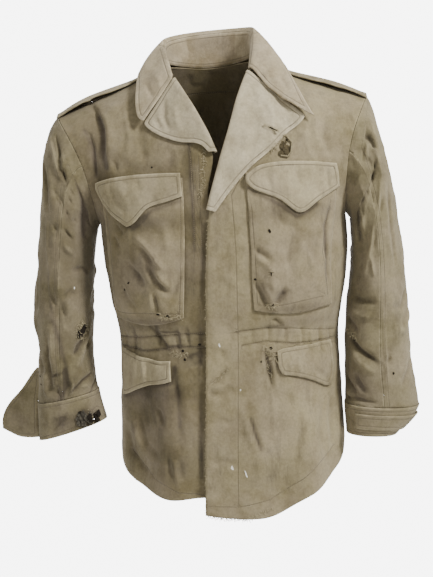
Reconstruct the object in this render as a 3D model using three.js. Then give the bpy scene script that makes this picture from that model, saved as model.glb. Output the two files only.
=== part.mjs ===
// A military-style cotton field jacket, worn open at the neck and held in its worn, hollow form.
// Millimetres, +Z up, the front faces -Y and +X is the wearer's left.
// The origin is the middle of the neck opening, level with the points where neck and shoulder meet.
import * as THREE from 'three';

// Driving dimensions
const CLOTH = 1.6;              // body and sleeve cloth, doubled and washed soft
const FACED = 1.8;              // flaps, cuffs and straps, two layers sewn together
const COLLAR_CLOTH = 2.0;
const SEAM_GAP = 0.3;
const REST_GAP = 0.9;           // between a piece and the panel it is sewn on
const NECK_HALF = 70;
const NAPE_DEPTH = 52;
const NAPE_RISE = 28;
const SHOULDER_HALF = 245;
const SHOULDER_SLOPE = 0.4;
const SHOULDER_SAG = 5;
const ARMPIT_Z = -250;
const CHEST_FRONT = 120;
const CHEST_BACK = 122;
const ARMHOLE_FRONT = 62;
const ARMHOLE_BACK = 68;
const BODY_SQUARENESS = 2.3;    // exponent of the superellipse that the body's section follows
const SHOULDER_SQUARENESS = 1.75;
const OVERLAP_LIFT = 4.2;       // how far the outer front stands off the front under it
const OVERLAP_WIDTH = 52;
const OVERLAP_FADE = 95;
const LEAN = 14;                // the jacket's lower part hangs this far to one side
const SHOULDER_TILT = Math.tan(THREE.MathUtils.degToRad(1.4));
const LEAN_END = 330;

// Steps of the meshes
const ARMHOLE_STEPS = 12;
const LOWER_STEPS = 19;
const FRONT_COLUMNS = 12;
const BACK_COLUMNS = 18;
const SLEEVE_RINGS = 20;

// Girth of the body below the armpit
const girth = [
  { z: -250, half: 196, front: 120, back: 122 },
  { z: -300, half: 196, front: 121, back: 120 },
  { z: -347, half: 190, front: 119, back: 116 },
  { z: -400, half: 181, front: 114, back: 110 },
  { z: -430, half: 176, front: 112, back: 108 },
  { z: -520, half: 178, front: 118, back: 118 },
  { z: -600, half: 181, front: 127, back: 128 },
  { z: -710, half: 179, front: 138, back: 138 },
];

// Half width at the armhole, by the height from armpit (0) to shoulder (1)
const armholeWidth = [
  { h: 0, half: 196 }, { h: 0.15, half: 197 }, { h: 0.35, half: 201 }, { h: 0.55, half: 209 },
  { h: 0.75, half: 223 }, { h: 0.9, half: 236 }, { h: 1, half: 245 },
];

// Each side of the garment. Here x runs from the middle to that side: sign +1 is the wearer's left.
// edge is the roll line and front edge, hem the lower edge from the middle of the front round to the side.
const sides = {
  left: {
    sign: 1,
    edge: [
      { z: 0, x: 70 }, { z: -20, x: 66 }, { z: -40, x: 57 }, { z: -70, x: 45 }, { z: -100, x: 35 },
      { z: -134, x: 24 }, { z: -152, x: 15 }, { z: -194, x: 0 }, { z: -230, x: -13 }, { z: -304, x: -24 },
      { z: -397, x: -29 }, { z: -519, x: -34 }, { z: -611, x: -38 }, { z: -720, x: -42 },
    ],
    hem: [
      { turn: -20, z: -690 }, { turn: 0, z: -702 }, { turn: 18, z: -703 }, { turn: 30, z: -686 },
      { turn: 45, z: -670 }, { turn: 62, z: -650 }, { turn: 78, z: -630 }, { turn: 90, z: -612 },
    ],
  },
  right: {
    sign: -1,
    edge: [
      { z: 0, x: 70 }, { z: -10, x: 65 }, { z: -24, x: 56 }, { z: -61, x: 34 }, { z: -90, x: 18 },
      { z: -111, x: 9 }, { z: -133, x: 2 }, { z: -150, x: -4 }, { z: -162, x: 0 }, { z: -186, x: 10 },
      { z: -205, x: 15 }, { z: -226, x: 13 }, { z: -245, x: 5 }, { z: -280, x: -10 }, { z: -330, x: -15 },
      { z: -720, x: -18 },
    ],
    hem: [
      { turn: -20, z: -672 }, { turn: 12, z: -670 }, { turn: 28, z: -676 }, { turn: 42, z: -666 },
      { turn: 60, z: -650 }, { turn: 78, z: -628 }, { turn: 90, z: -612 },
    ],
  },
};
const backHem = [
  { turn: 90, z: -612 }, { turn: 110, z: -632 }, { turn: 135, z: -655 }, { turn: 180, z: -668 },
  { turn: 225, z: -655 }, { turn: 250, z: -632 }, { turn: 270, z: -612 },
];

// The largest folds of the body. Each runs from (x1, z1) to (x2, z2); depth is outwards when positive.
const bodyFolds = {
  left: [
    { x1: 40, z1: -384, x2: 165, z2: -374, width: 24, depth: 6 },
    { x1: 25, z1: -424, x2: 168, z2: -437, width: 15, depth: -5 },
    { x1: 34, z1: -345, x2: 74, z2: -380, width: 14, depth: -5 },
    { x1: 104, z1: -355, x2: 78, z2: -382, width: 14, depth: -5 },
    { x1: 150, z1: -90, x2: 176, z2: -165, width: 18, depth: 6 },
    { x1: 168, z1: -110, x2: 186, z2: -215, width: 13, depth: -6 },
    { x1: 60, z1: -462, x2: 62, z2: -540, width: 15, depth: -5 },
    { x1: 30, z1: -545, x2: 52, z2: -620, width: 17, depth: 7 },
    { x1: 62, z1: -560, x2: 84, z2: -690, width: 20, depth: -7 },
    { x1: 112, z1: -560, x2: 122, z2: -680, width: 24, depth: 8 },
    { x1: 154, z1: -530, x2: 160, z2: -650, width: 18, depth: -6 },
  ],
  right: [
    { x1: 60, z1: -392, x2: 170, z2: -384, width: 24, depth: 7 },
    { x1: 34, z1: -437, x2: 172, z2: -440, width: 15, depth: -6 },
    { x1: 127, z1: -262, x2: 88, z2: -350, width: 15, depth: 7 },
    { x1: 146, z1: -285, x2: 112, z2: -372, width: 13, depth: -6 },
    { x1: 150, z1: -62, x2: 166, z2: -160, width: 15, depth: 7 },
    { x1: 176, z1: -84, x2: 182, z2: -190, width: 12, depth: -7 },
    { x1: 128, z1: -470, x2: 138, z2: -540, width: 14, depth: -5 },
    { x1: 78, z1: -500, x2: 94, z2: -670, width: 24, depth: 8 },
    { x1: 48, z1: -520, x2: 56, z2: -670, width: 18, depth: -7 },
    { x1: 134, z1: -560, x2: 146, z2: -650, width: 19, depth: -7 },
    { x1: 160, z1: -520, x2: 164, z2: -640, width: 14, depth: 6 },
  ],
  back: [
    { x1: -150, z1: -392, x2: 150, z2: -386, width: 26, depth: 8 },
    { x1: -165, z1: -436, x2: 165, z2: -434, width: 16, depth: -6 },
    { x1: -150, z1: -110, x2: -118, z2: -300, width: 20, depth: 8 },
    { x1: 152, z1: -120, x2: 112, z2: -320, width: 20, depth: 8 },
    { x1: -178, z1: -130, x2: -160, z2: -270, width: 14, depth: -7 },
    { x1: 180, z1: -140, x2: 158, z2: -290, width: 14, depth: -7 },
    { x1: -26, z1: -60, x2: -12, z2: -240, width: 24, depth: 5 },
    { x1: -92, z1: -470, x2: -104, z2: -650, width: 22, depth: 8 },
    { x1: -48, z1: -470, x2: -52, z2: -660, width: 19, depth: -6 },
    { x1: 8, z1: -470, x2: 2, z2: -665, width: 24, depth: 7 },
    { x1: 62, z1: -480, x2: 70, z2: -660, width: 20, depth: -7 },
    { x1: 116, z1: -470, x2: 124, z2: -640, width: 22, depth: 7 },
    { x1: -148, z1: -500, x2: -150, z2: -630, width: 15, depth: -6 },
  ],
};

// A number from a table with a row for each named place, smooth between the rows
function readTable(table, key, value, at) {
  const rising = table[table.length - 1][key] > table[0][key];
  const place = rising ? at : -at;
  const keyOf = (row) => (rising ? row[key] : -row[key]);
  if (place <= keyOf(table[0])) return table[0][value];
  for (let i = 1; i < table.length; i += 1) {
    if (place > keyOf(table[i])) continue;
    const before = table[i - 1];
    const after = table[i];
    const t = (place - keyOf(before)) / (keyOf(after) - keyOf(before));
    const slopeAt = (n) => {
      const low = table[Math.max(n - 1, 0)];
      const high = table[Math.min(n + 1, table.length - 1)];
      return (high[value] - low[value]) / (keyOf(high) - keyOf(low));
    };
    const span = keyOf(after) - keyOf(before);
    const t2 = t * t;
    const t3 = t2 * t;
    return (2 * t3 - 3 * t2 + 1) * before[value] + (t3 - 2 * t2 + t) * span * slopeAt(i - 1)
      + (3 * t2 - 2 * t3) * after[value] + (t3 - t2) * span * slopeAt(i);
  }
  return table[table.length - 1][value];
}

const clamp = THREE.MathUtils.clamp;
const ease = (t) => THREE.MathUtils.smoothstep(t, 0, 1);
const vec = (x, y, z) => new THREE.Vector3(x, y, z);
const signedPower = (value, power) => Math.sign(value) * Math.abs(value) ** power;

// The crest of the shoulder, rising to the nape between the two neck points
function crestHeight(x) {
  const out = Math.abs(x);
  if (out < NECK_HALF) return NAPE_RISE * (1 - (out / NECK_HALF) ** 2);
  const along = clamp((out - NECK_HALF) / (SHOULDER_HALF - NECK_HALF), 0, 1);
  return -SHOULDER_SLOPE * (out - NECK_HALF) - SHOULDER_SAG * Math.sin(Math.PI * along);
}

// How far up a point is between armpit level (0) and the shoulder's crest (1)
const riseOf = (x, z) => clamp((z - ARMPIT_Z) / (crestHeight(x) - ARMPIT_Z), 0, 0.9995);

// Half width and depth of the superellipse that carries the surface at a level
function sectionAt(face, x, z) {
  if (z <= ARMPIT_Z) {
    return {
      half: readTable(girth, 'z', 'half', z),
      depth: readTable(girth, 'z', face, z),
      rise: 0,
    };
  }
  return sectionAtRise(face, riseOf(x, z));
}

function sectionAtRise(face, rise) {
  const chest = face === 'back' ? CHEST_BACK : CHEST_FRONT;
  const armhole = face === 'back' ? ARMHOLE_BACK : ARMHOLE_FRONT;
  const depth = chest * (1 - rise ** SHOULDER_SQUARENESS) ** (1 / SHOULDER_SQUARENESS);
  const sideDepth = Math.min(armhole * 2 * Math.sqrt(rise * (1 - rise)), 0.9 * depth);
  const edge = readTable(armholeWidth, 'h', 'half', rise);
  const share = (sideDepth / depth) ** BODY_SQUARENESS;
  return { half: edge / (1 - share) ** (1 / BODY_SQUARENESS), depth, edge, rise };
}

const facing = (face) => (face === 'back' ? 1 : -1);

// A point of the plain body surface
function bodyPoint(face, x, z) {
  const { half, depth } = sectionAt(face, x, z);
  const share = Math.min(Math.abs(x) / half, 0.99999) ** BODY_SQUARENESS;
  return vec(x, facing(face) * depth * (1 - share) ** (1 / BODY_SQUARENESS), z);
}

// The outward direction there, from the slope of the surface's own equation
function outwardAt(face, point) {
  const level = (x, y, z) => {
    const { half, depth } = sectionAt(face, x, z);
    return (Math.abs(x) / half) ** BODY_SQUARENESS + (Math.abs(y) / depth) ** BODY_SQUARENESS;
  };
  const step = 0.5;
  const { x, y, z } = point;
  return vec(
    level(x + step, y, z) - level(x - step, y, z),
    level(x, y + step, z) - level(x, y - step, z),
    level(x, y, z + step) - level(x, y, z - step),
  ).normalize();
}

function foldHeight(folds, x, z) {
  let height = 0;
  for (const fold of folds) {
    const dx = fold.x2 - fold.x1;
    const dz = fold.z2 - fold.z1;
    const t = clamp(((x - fold.x1) * dx + (z - fold.z1) * dz) / (dx * dx + dz * dz), 0, 1);
    const away = Math.hypot(x - fold.x1 - dx * t, z - fold.z1 - dz * t);
    height += fold.depth * Math.exp(-((away / fold.width) ** 2));
  }
  return height;
}

// Folds fade out towards the side seams and the shoulder, where the panels meet
function foldFade(face, x, z) {
  const { half, rise } = sectionAt(face, x, z);
  return clamp((1 - Math.abs(x) / half) * 7, 0, 1) * clamp((1 - rise) * 6, 0, 1);
}

// Both fronts are described with x towards their own side
function frontLift(name, x, z) {
  const side = sides[name];
  const clearOfEdge = ease((x - 5) / 40);
  const fold = foldHeight(bodyFolds[name], x, z) * foldFade('front', x, z) * clearOfEdge;
  if (side.sign < 0) return fold;
  const fromEdge = x - readTable(side.edge, 'z', 'x', z);
  const overlap = 1 - ease((fromEdge - OVERLAP_WIDTH) / OVERLAP_FADE);
  const below = ease((-z - 40) / 110);
  return fold + OVERLAP_LIFT * overlap * below;
}

// A point on a front panel, or a given height above it
function onFront(name, x, z, height = 0) {
  const point = bodyPoint('front', x * sides[name].sign, z);
  const out = outwardAt('front', point);
  return point.addScaledVector(out, frontLift(name, x, z) + height);
}

function onBack(x, z, height = 0) {
  const point = bodyPoint('back', x, z);
  const out = outwardAt('back', point);
  return point.addScaledVector(out, foldHeight(bodyFolds.back, x, z) * foldFade('back', x, z) + height);
}

// The whole garment leans a little to one side, and one shoulder is higher
function hang(point) {
  const s = ease(-point.z / LEAN_END);
  return vec(point.x + LEAN * s, point.y, point.z + point.x * SHOULDER_TILT * (1 - s));
}

// Directions across a grid of points, one for each point
function gridNormals(rows, ring) {
  const last = rows[0].length - 1;
  return rows.map((row, i) => row.map((_, j) => {
    const up = rows[Math.max(i - 1, 0)][j];
    const down = rows[Math.min(i + 1, rows.length - 1)][j];
    const before = row[ring ? (j + last) % (last + 1) : Math.max(j - 1, 0)];
    const after = row[ring ? (j + 1) % (last + 1) : Math.min(j + 1, last)];
    return down.clone().sub(up).cross(after.clone().sub(before)).normalize();
  }));
}

// A closed wall of cloth: the outer points, the inner ones a thickness in, and the edges between them.
// A torn wall has one cell left out.
function clothWall(name, outer, thickness, finish, options = {}) {
  const { ring = false, flip = false, inward = {}, tear = null } = options;
  const normals = gridNormals(outer, ring);
  const turn = flip ? 1 : -1;
  const inner = outer.map((row, i) => row.map((point, j) => {
    const given = inward[`${i},${j}`];
    return given ? point.clone().add(given) : point.clone().addScaledVector(normals[i][j], turn * thickness);
  }));
  const columns = outer[0].length;
  const positions = [...outer.flat(), ...inner.flat()].map(hang).flatMap((p) => [p.x, p.y, p.z]);
  const layer = outer.length * columns;
  const faces = [];
  const quad = (a, b, c, d) => {
    faces.push(...(flip ? [a, c, b, a, d, c] : [a, b, c, a, c, d]));
  };
  const at = (i, j) => i * columns + (j % columns);
  const spans = ring ? columns : columns - 1;
  const before = (i, j) => quad(layer + at(i, j), layer + at(i + 1, j), at(i + 1, j), at(i, j));
  const after = (i, j) => quad(at(i + 1, j), layer + at(i + 1, j), layer + at(i, j), at(i, j));
  const above = (i, j) => quad(at(i, j), at(i, j + 1), layer + at(i, j + 1), layer + at(i, j));
  const below = (i, j) => quad(at(i, j + 1), at(i, j), layer + at(i, j), layer + at(i, j + 1));
  for (let i = 0; i < outer.length - 1; i += 1) {
    for (let j = 0; j < spans; j += 1) {
      if (tear && tear.row === i && tear.column === j) {
        after(i, j);
        before(i, j + 1);
        below(i, j);
        above(i + 1, j);
      } else {
        quad(at(i, j), at(i + 1, j), at(i + 1, j + 1), at(i, j + 1));
        quad(layer + at(i, j + 1), layer + at(i + 1, j + 1), layer + at(i + 1, j), layer + at(i, j));
      }
    }
    if (!ring) {
      before(i, 0);
      after(i, columns - 1);
    }
  }
  for (let j = 0; j < spans; j += 1) {
    above(0, j);
    below(outer.length - 1, j);
  }
  const geometry = new THREE.BufferGeometry();
  geometry.setAttribute('position', new THREE.Float32BufferAttribute(positions, 3));
  geometry.setIndex(faces);
  geometry.computeVertexNormals();
  const mesh = new THREE.Mesh(geometry, finish);
  mesh.name = name;
  return mesh;
}

const clothColours = {
  body: '#968c73', sleeve: '#8c8069', lapel: '#b8ad94', collar: '#c2b79e', flap: '#aba086', cuff: '#82795f',
};
const finishOf = (colour) => new THREE.MeshStandardMaterial({
  color: clothColours[colour], roughness: 0.92, metalness: 0, side: THREE.DoubleSide,
});

const garment = new THREE.Group();

// Heights of the panels' rows above the armpit: even steps round the armhole's loop
const riseOfRow = (row) => (1 - Math.cos((Math.PI * row) / ARMHOLE_STEPS)) / 2;
const smallest = 0.002;
const crestRise = 1 - smallest;

// Where a row at one rise crosses the given edge
function edgePlace(edge, rise) {
  let x = NECK_HALF;
  for (let turn = 0; turn < 40; turn += 1) {
    const z = ARMPIT_Z + (crestHeight(x) - ARMPIT_Z) * rise;
    x = (x + readTable(edge, 'z', 'x', z)) / 2;
  }
  return x;
}

// One row of a front above the armpit, from the roll line to the armhole
function frontRowAbove(name, row) {
  const side = sides[name];
  const top = row === ARMHOLE_STEPS;
  const rise = top ? 1 : riseOfRow(row);
  const start = edgePlace(side.edge, Math.min(rise, crestRise));
  const { half, edge } = sectionAtRise('front', Math.min(rise, crestRise));
  const first = Math.asin(signedPower(clamp(start / half, -1, 1), BODY_SQUARENESS / 2));
  const last = Math.asin((edge / half) ** (BODY_SQUARENESS / 2));
  const points = [];
  for (let j = 0; j <= FRONT_COLUMNS; j += 1) {
    const turn = first + ((last - first) * j) / FRONT_COLUMNS;
    const x = top ? start + ((SHOULDER_HALF - start) * j) / FRONT_COLUMNS
      : half * signedPower(Math.sin(turn), 2 / BODY_SQUARENESS);
    const z = ARMPIT_Z + (crestHeight(x) - ARMPIT_Z) * rise;
    points.push(top ? vec(x * side.sign, 0, z) : onFront(name, x, z));
  }
  return points;
}

function frontRowBelow(name, share) {
  const side = sides[name];
  const points = [];
  for (let j = 0; j <= FRONT_COLUMNS; j += 1) {
    let z = ARMPIT_Z;
    let turn = 0;
    for (let pass = 0; pass < 6; pass += 1) {
      const { half } = sectionAt('front', 0, z);
      const start = readTable(side.edge, 'z', 'x', z);
      const first = Math.asin(signedPower(start / half, BODY_SQUARENESS / 2));
      turn = first + ((Math.PI / 2 - first) * j) / FRONT_COLUMNS;
      const hem = readTable(side.hem, 'turn', 'z', THREE.MathUtils.radToDeg(turn));
      z = ARMPIT_Z + (hem - ARMPIT_Z) * share;
    }
    const { half } = sectionAt('front', 0, z);
    const x = half * signedPower(Math.sin(turn), 2 / BODY_SQUARENESS);
    points.push(onFront(name, x, z));
  }
  return points;
}

function frontRows(name) {
  const rows = [];
  for (let row = ARMHOLE_STEPS; row >= 0; row -= 1) rows.push(frontRowAbove(name, row));
  for (let row = 1; row <= LOWER_STEPS; row += 1) rows.push(frontRowBelow(name, row / LOWER_STEPS));
  return rows;
}

// The back, from the wearer's right side seam to the left one
function backRows() {
  const rows = [];
  for (let row = ARMHOLE_STEPS; row >= 0; row -= 1) {
    const top = row === ARMHOLE_STEPS;
    const points = [];
    for (let j = 0; j <= BACK_COLUMNS; j += 1) {
      const across = (2 * j) / BACK_COLUMNS - 1;
      const rise = Math.min(top ? 1 : riseOfRow(row), crestRise);
      const { half, edge } = sectionAtRise('back', rise);
      const last = Math.asin((edge / half) ** (BODY_SQUARENESS / 2));
      const round = half * signedPower(Math.sin(last * across), 2 / BODY_SQUARENESS);
      const evenly = edge * across;
      const x = top ? SHOULDER_HALF * across : round + (evenly - round) * ease(rise * 1.4 - 0.4);
      points.push(backTopPoint(x, rise, top));
    }
    rows.push(points);
  }
  for (let row = 1; row <= LOWER_STEPS; row += 1) {
    const points = [];
    for (let j = 0; j <= BACK_COLUMNS; j += 1) {
      const across = (2 * j) / BACK_COLUMNS - 1;
      const hem = readTable(backHem, 'turn', 'z', 180 + 90 * across);
      const z = ARMPIT_Z + ((hem - ARMPIT_Z) * row) / LOWER_STEPS;
      const { half } = sectionAt('back', 0, z);
      points.push(onBack(half * signedPower(Math.sin((Math.PI / 2) * across), 2 / BODY_SQUARENESS), z));
    }
    rows.push(points);
  }
  return rows;
}

// Between the neck points the back stops at the neckline, which goes back round the nape
function neckDepth(x) {
  const share = clamp(Math.abs(x) / NECK_HALF, 0, 1);
  return NAPE_DEPTH * Math.sqrt(1 - share * share);
}
function neckRise(x) {
  const depth = neckDepth(x) / CHEST_BACK;
  return (1 - depth ** SHOULDER_SQUARENESS) ** (1 / SHOULDER_SQUARENESS);
}
function backTopPoint(x, rise, top) {
  const limit = Math.abs(x) < NECK_HALF ? neckRise(x) : 1;
  const used = rise * limit;
  if (top && limit === 1) return vec(x, 0, crestHeight(x));
  const z = ARMPIT_Z + (crestHeight(x) - ARMPIT_Z) * (top ? limit : used);
  return onBack(x, z);
}

const fronts = { left: frontRows('left'), right: frontRows('right') };
const back = backRows();

// The armhole is a loop through both panels' edges: armpit, front, shoulder, back
function armholeLoop(name) {
  const frontEdge = fronts[name].slice(0, ARMHOLE_STEPS + 1).map((row) => row[FRONT_COLUMNS]).reverse();
  const column = sides[name].sign > 0 ? BACK_COLUMNS : 0;
  const backEdge = back.slice(1, ARMHOLE_STEPS).map((row) => row[column]);
  return [...frontEdge, ...backEdge];
}

// Sleeves: each row is one ring, from its outer point to its inner one, with the middle and depth in Y
const sleeveShapes = {
  left: [
    { outX: 245, outZ: -70, inX: 196, inZ: -250, midY: 3, depth: 130 },
    { outX: 253, outZ: -92, inX: 200, inZ: -256, midY: 3, depth: 140 },
    { outX: 262, outZ: -132, inX: 201, inZ: -263, midY: 2, depth: 150 },
    { outX: 269, outZ: -176, inX: 201, inZ: -273, midY: 0, depth: 155 },
    { outX: 275, outZ: -222, inX: 201, inZ: -287, midY: -1, depth: 155 },
    { outX: 280, outZ: -286, inX: 200, inZ: -312, midY: -3, depth: 150 },
    { outX: 285, outZ: -345, inX: 195.5, inZ: -352, midY: -6, depth: 144 },
    { outX: 288, outZ: -398, inX: 188, inZ: -400, midY: -10, depth: 138 },
    { outX: 288, outZ: -455, inX: 184, inZ: -455, midY: -15, depth: 130 },
    { outX: 292, outZ: -508, inX: 183, inZ: -506, midY: -21, depth: 118 },
    { outX: 298, outZ: -558, inX: 181, inZ: -551, midY: -26, depth: 104 },
    { outX: 262, outZ: -598, inX: 183, inZ: -595, midY: -30, depth: 82 },
  ],
  right: [
    { outX: 245, outZ: -70, inX: 196, inZ: -250, midY: 3, depth: 130 },
    { outX: 261, outZ: -92, inX: 200, inZ: -256, midY: 3, depth: 140 },
    { outX: 273, outZ: -132, inX: 202, inZ: -264, midY: 2, depth: 150 },
    { outX: 281, outZ: -176, inX: 206, inZ: -276, midY: -1, depth: 155 },
    { outX: 289, outZ: -222, inX: 209, inZ: -292, midY: -3, depth: 153 },
    { outX: 299, outZ: -288, inX: 213, inZ: -322, midY: -5, depth: 148 },
    { outX: 305, outZ: -350, inX: 215, inZ: -362, midY: -8, depth: 140 },
    { outX: 307, outZ: -405, inX: 217, inZ: -405, midY: -12, depth: 132 },
    { outX: 306, outZ: -450, inX: 220, inZ: -446, midY: -17, depth: 120 },
    { outX: 308, outZ: -490, inX: 217, inZ: -480, midY: -22, depth: 106 },
    { outX: 311, outZ: -536, inX: 212, inZ: -516, midY: -27, depth: 90 },
    { outX: 311, outZ: -592, inX: 201, inZ: -560, midY: -32, depth: 72 },
  ],
};

// The largest folds of the sleeves: along is the share of the length, turn the angle round from the inside
// over the front (90) to the outside (180) and the back (270)
const sleeveFolds = {
  left: [
    { along1: 0.07, turn1: 112, along2: 0.24, turn2: 96, width: 11, depth: -9 },
    { along1: 0.10, turn1: 134, along2: 0.24, turn2: 126, width: 12, depth: 7 },
    { along1: 0.24, turn1: 100, along2: 0.40, turn2: 48, width: 13, depth: -6 },
    { along1: 0.20, turn1: 60, along2: 0.34, turn2: 40, width: 14, depth: 6 },
    { along1: 0.46, turn1: 60, along2: 0.55, turn2: 120, width: 13, depth: -5 },
    { along1: 0.60, turn1: 50, along2: 0.70, turn2: 100, width: 13, depth: -6 },
    { along1: 0.72, turn1: 130, along2: 0.84, turn2: 80, width: 12, depth: -5 },
    { along1: 0.55, turn1: 210, along2: 0.62, turn2: 275, width: 14, depth: -7 },
    { along1: 0.30, turn1: 230, along2: 0.40, turn2: 300, width: 15, depth: -6 },
    { along1: 0.14, turn1: 250, along2: 0.28, turn2: 285, width: 14, depth: 7 },
    { along1: 0.72, turn1: 240, along2: 0.80, turn2: 300, width: 13, depth: -5 },
  ],
  right: [
    { along1: 0.05, turn1: 140, along2: 0.24, turn2: 92, width: 12, depth: -7 },
    { along1: 0.08, turn1: 112, along2: 0.22, turn2: 74, width: 13, depth: 7 },
    { along1: 0.20, turn1: 62, along2: 0.40, turn2: 34, width: 13, depth: -7 },
    { along1: 0.28, turn1: 150, along2: 0.36, turn2: 118, width: 12, depth: -5 },
    { along1: 0.46, turn1: 128, along2: 0.62, turn2: 84, width: 12, depth: -7 },
    { along1: 0.50, turn1: 92, along2: 0.64, turn2: 48, width: 13, depth: 6 },
    { along1: 0.66, turn1: 108, along2: 0.82, turn2: 92, width: 13, depth: 6 },
    { along1: 0.50, turn1: 220, along2: 0.56, turn2: 290, width: 14, depth: -7 },
    { along1: 0.62, turn1: 205, along2: 0.68, turn2: 265, width: 13, depth: -6 },
    { along1: 0.28, turn1: 240, along2: 0.38, turn2: 300, width: 15, depth: -6 },
    { along1: 0.12, turn1: 250, along2: 0.26, turn2: 280, width: 14, depth: 7 },
  ],
};
const SLEEVE_LENGTH = 560;
const SLEEVE_GIRTH = 400;
const SLEEVE_SQUARENESS = 2.2;

function sleeveFold(name, along, turn) {
  const squeeze = SLEEVE_LENGTH;
  const flat = sleeveFolds[name].map((fold) => ({
    x1: (fold.turn1 / 360) * SLEEVE_GIRTH,
    z1: fold.along1 * squeeze,
    x2: (fold.turn2 / 360) * SLEEVE_GIRTH,
    z2: fold.along2 * squeeze,
    width: fold.width,
    depth: fold.depth,
  }));
  return foldHeight(flat, (turn / 360) * SLEEVE_GIRTH, along * squeeze);
}

// One point of a sleeve: along runs from the armhole (0) to the lower edge (1), turn in degrees
function sleevePoint(name, loop, along, k) {
  const side = sides[name];
  const shape = sleeveShapes[name].map((row, index) => ({ ...row, index }));
  const at = along * (shape.length - 1);
  const read = (value) => readTable(shape, 'index', value, at);
  const turn = (2 * Math.PI * k) / loop.length;
  const across = (1 - signedPower(Math.cos(turn), 2 / SLEEVE_SQUARENESS)) / 2;
  const front = signedPower(Math.sin(turn), 2 / SLEEVE_SQUARENESS);
  const out = vec(read('outX'), 0, read('outZ'));
  const inside = vec(read('inX'), 0, read('inZ'));
  const span = out.clone().sub(inside);
  const round = inside.clone().addScaledVector(span, across);
  round.y = read('midY') - (read('depth') / 2) * front;

  // Near the armhole the ring keeps the loop's own shape
  const first = shape[0];
  const local = loop[Math.round(k) % loop.length];
  const share = (local.z - first.inZ) / (first.outZ - first.inZ);
  const straightX = first.inX + (first.outX - first.inX) * share;
  const bulge = Math.abs(local.x) - straightX;
  const like = inside.clone().addScaledVector(span, share);
  const side90 = vec(-span.z, 0, span.x).normalize();
  like.addScaledVector(side90, -bulge);
  like.y = read('midY') + (local.y - first.midY) * (read('depth') / first.depth);
  const point = like.lerp(round, ease(at / 2.6));
  const centre = inside.clone().addScaledVector(span, 0.5);
  centre.y = read('midY');
  const outwards = point.clone().sub(centre).normalize();
  const fade = ease(at / 1.2);
  point.addScaledVector(outwards, sleeveFold(name, along, THREE.MathUtils.radToDeg(turn)) * fade);
  point.x *= side.sign;
  return point;
}

// Where the cuff is sewn on, as a share of the sleeve's length
const CUFF_START = 0.9;

function sleeveRings(name, loop) {
  const rings = [loop.map((point) => point.clone())];
  for (let j = 1; j <= SLEEVE_RINGS; j += 1) {
    const along = (CUFF_START * j) / SLEEVE_RINGS;
    rings.push(loop.map((_, k) => sleevePoint(name, loop, along, k)));
  }
  return rings;
}

// At the armhole both walls end on one mitred line, half a seam's gap from it on each side
function mitre(loop, intoBody, alongSleeve, sign) {
  const count = loop.length;
  return loop.map((point, k) => {
    const alongLoop = loop[(k + 1) % count].clone().sub(loop[(k + count - 1) % count]);
    const bodyOut = alongLoop.clone().cross(intoBody[k]).normalize();
    const sleeveOut = alongSleeve[k].clone().cross(alongLoop).normalize();
    if (sign < 0) {
      bodyOut.negate();
      sleeveOut.negate();
    }
    const both = bodyOut.add(sleeveOut);
    const cosine = clamp(both.length() / 2, 0.6, 1);
    return both.normalize().multiplyScalar(-CLOTH / cosine);
  });
}

// Panels, sleeves and their seams
const loops = { left: armholeLoop('left'), right: armholeLoop('right') };
const sleeves = { left: sleeveRings('left', loops.left), right: sleeveRings('right', loops.right) };
const sideSeamInward = (sign) => vec(-sign * CLOTH, 0, 0);
const crestInward = (sign) => {
  const slope = Math.atan(SHOULDER_SLOPE);
  return vec(-sign * Math.sin(slope) * CLOTH, 0, -Math.cos(slope) * CLOTH);
};

const mitres = {};
for (const name of ['left', 'right']) {
  const { sign } = sides[name];
  const loop = loops[name];
  const column = sign > 0 ? BACK_COLUMNS : 0;
  const intoBody = loop.map((point, k) => {
    if (k === 0) return vec(0, 0, -1);
    if (k === ARMHOLE_STEPS) return vec(-sign, 0, SHOULDER_SLOPE).normalize();
    const alongLoop = loop[(k + 1) % loop.length].clone().sub(loop[k - 1]);
    const into = alongLoop.cross(outwardAt(k < ARMHOLE_STEPS ? 'front' : 'back', point)).normalize();
    return into.dot(vec(-sign * 0.8, 0, -0.6)) < 0 ? into.negate() : into;
  });
  const alongSleeve = loop.map((point, k) => sleeves[name][1][k].clone().sub(point).normalize());
  const into = mitre(loop, intoBody, alongSleeve, sign);
  mitres[name] = into;
  sleeves[name][0] = loop.map((point, k) => point.clone().addScaledVector(alongSleeve[k], SEAM_GAP));
  loop.forEach((point, k) => {
    const move = intoBody[k].clone().multiplyScalar(SEAM_GAP);
    if (k <= ARMHOLE_STEPS) fronts[name][ARMHOLE_STEPS - k][FRONT_COLUMNS].add(move);
    if (k === 0) back[ARMHOLE_STEPS][column].add(move);
    if (k === ARMHOLE_STEPS) back[0][column].add(move);
    if (k > ARMHOLE_STEPS) back[k - ARMHOLE_STEPS][column].add(move);
  });
}

for (const name of ['left', 'right']) {
  const { sign } = sides[name];
  const rows = fronts[name];
  const inward = {};
  const half = vec(0, -SEAM_GAP / 2, 0);
  rows[0].forEach((point, j) => {
    point.add(half);
    inward[`0,${j}`] = crestInward(sign);
  });
  rows.forEach((row, i) => {
    if (i < ARMHOLE_STEPS) inward[`${i},${FRONT_COLUMNS}`] = mitres[name][ARMHOLE_STEPS - i];
    else {
      row[FRONT_COLUMNS].add(half);
      inward[`${i},${FRONT_COLUMNS}`] = i === ARMHOLE_STEPS ? mitres[name][0] : sideSeamInward(sign);
    }
  });
  garment.add(clothWall(`front_${name}`, rows, CLOTH, finishOf('body'), { flip: sign < 0, inward }));
}

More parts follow.
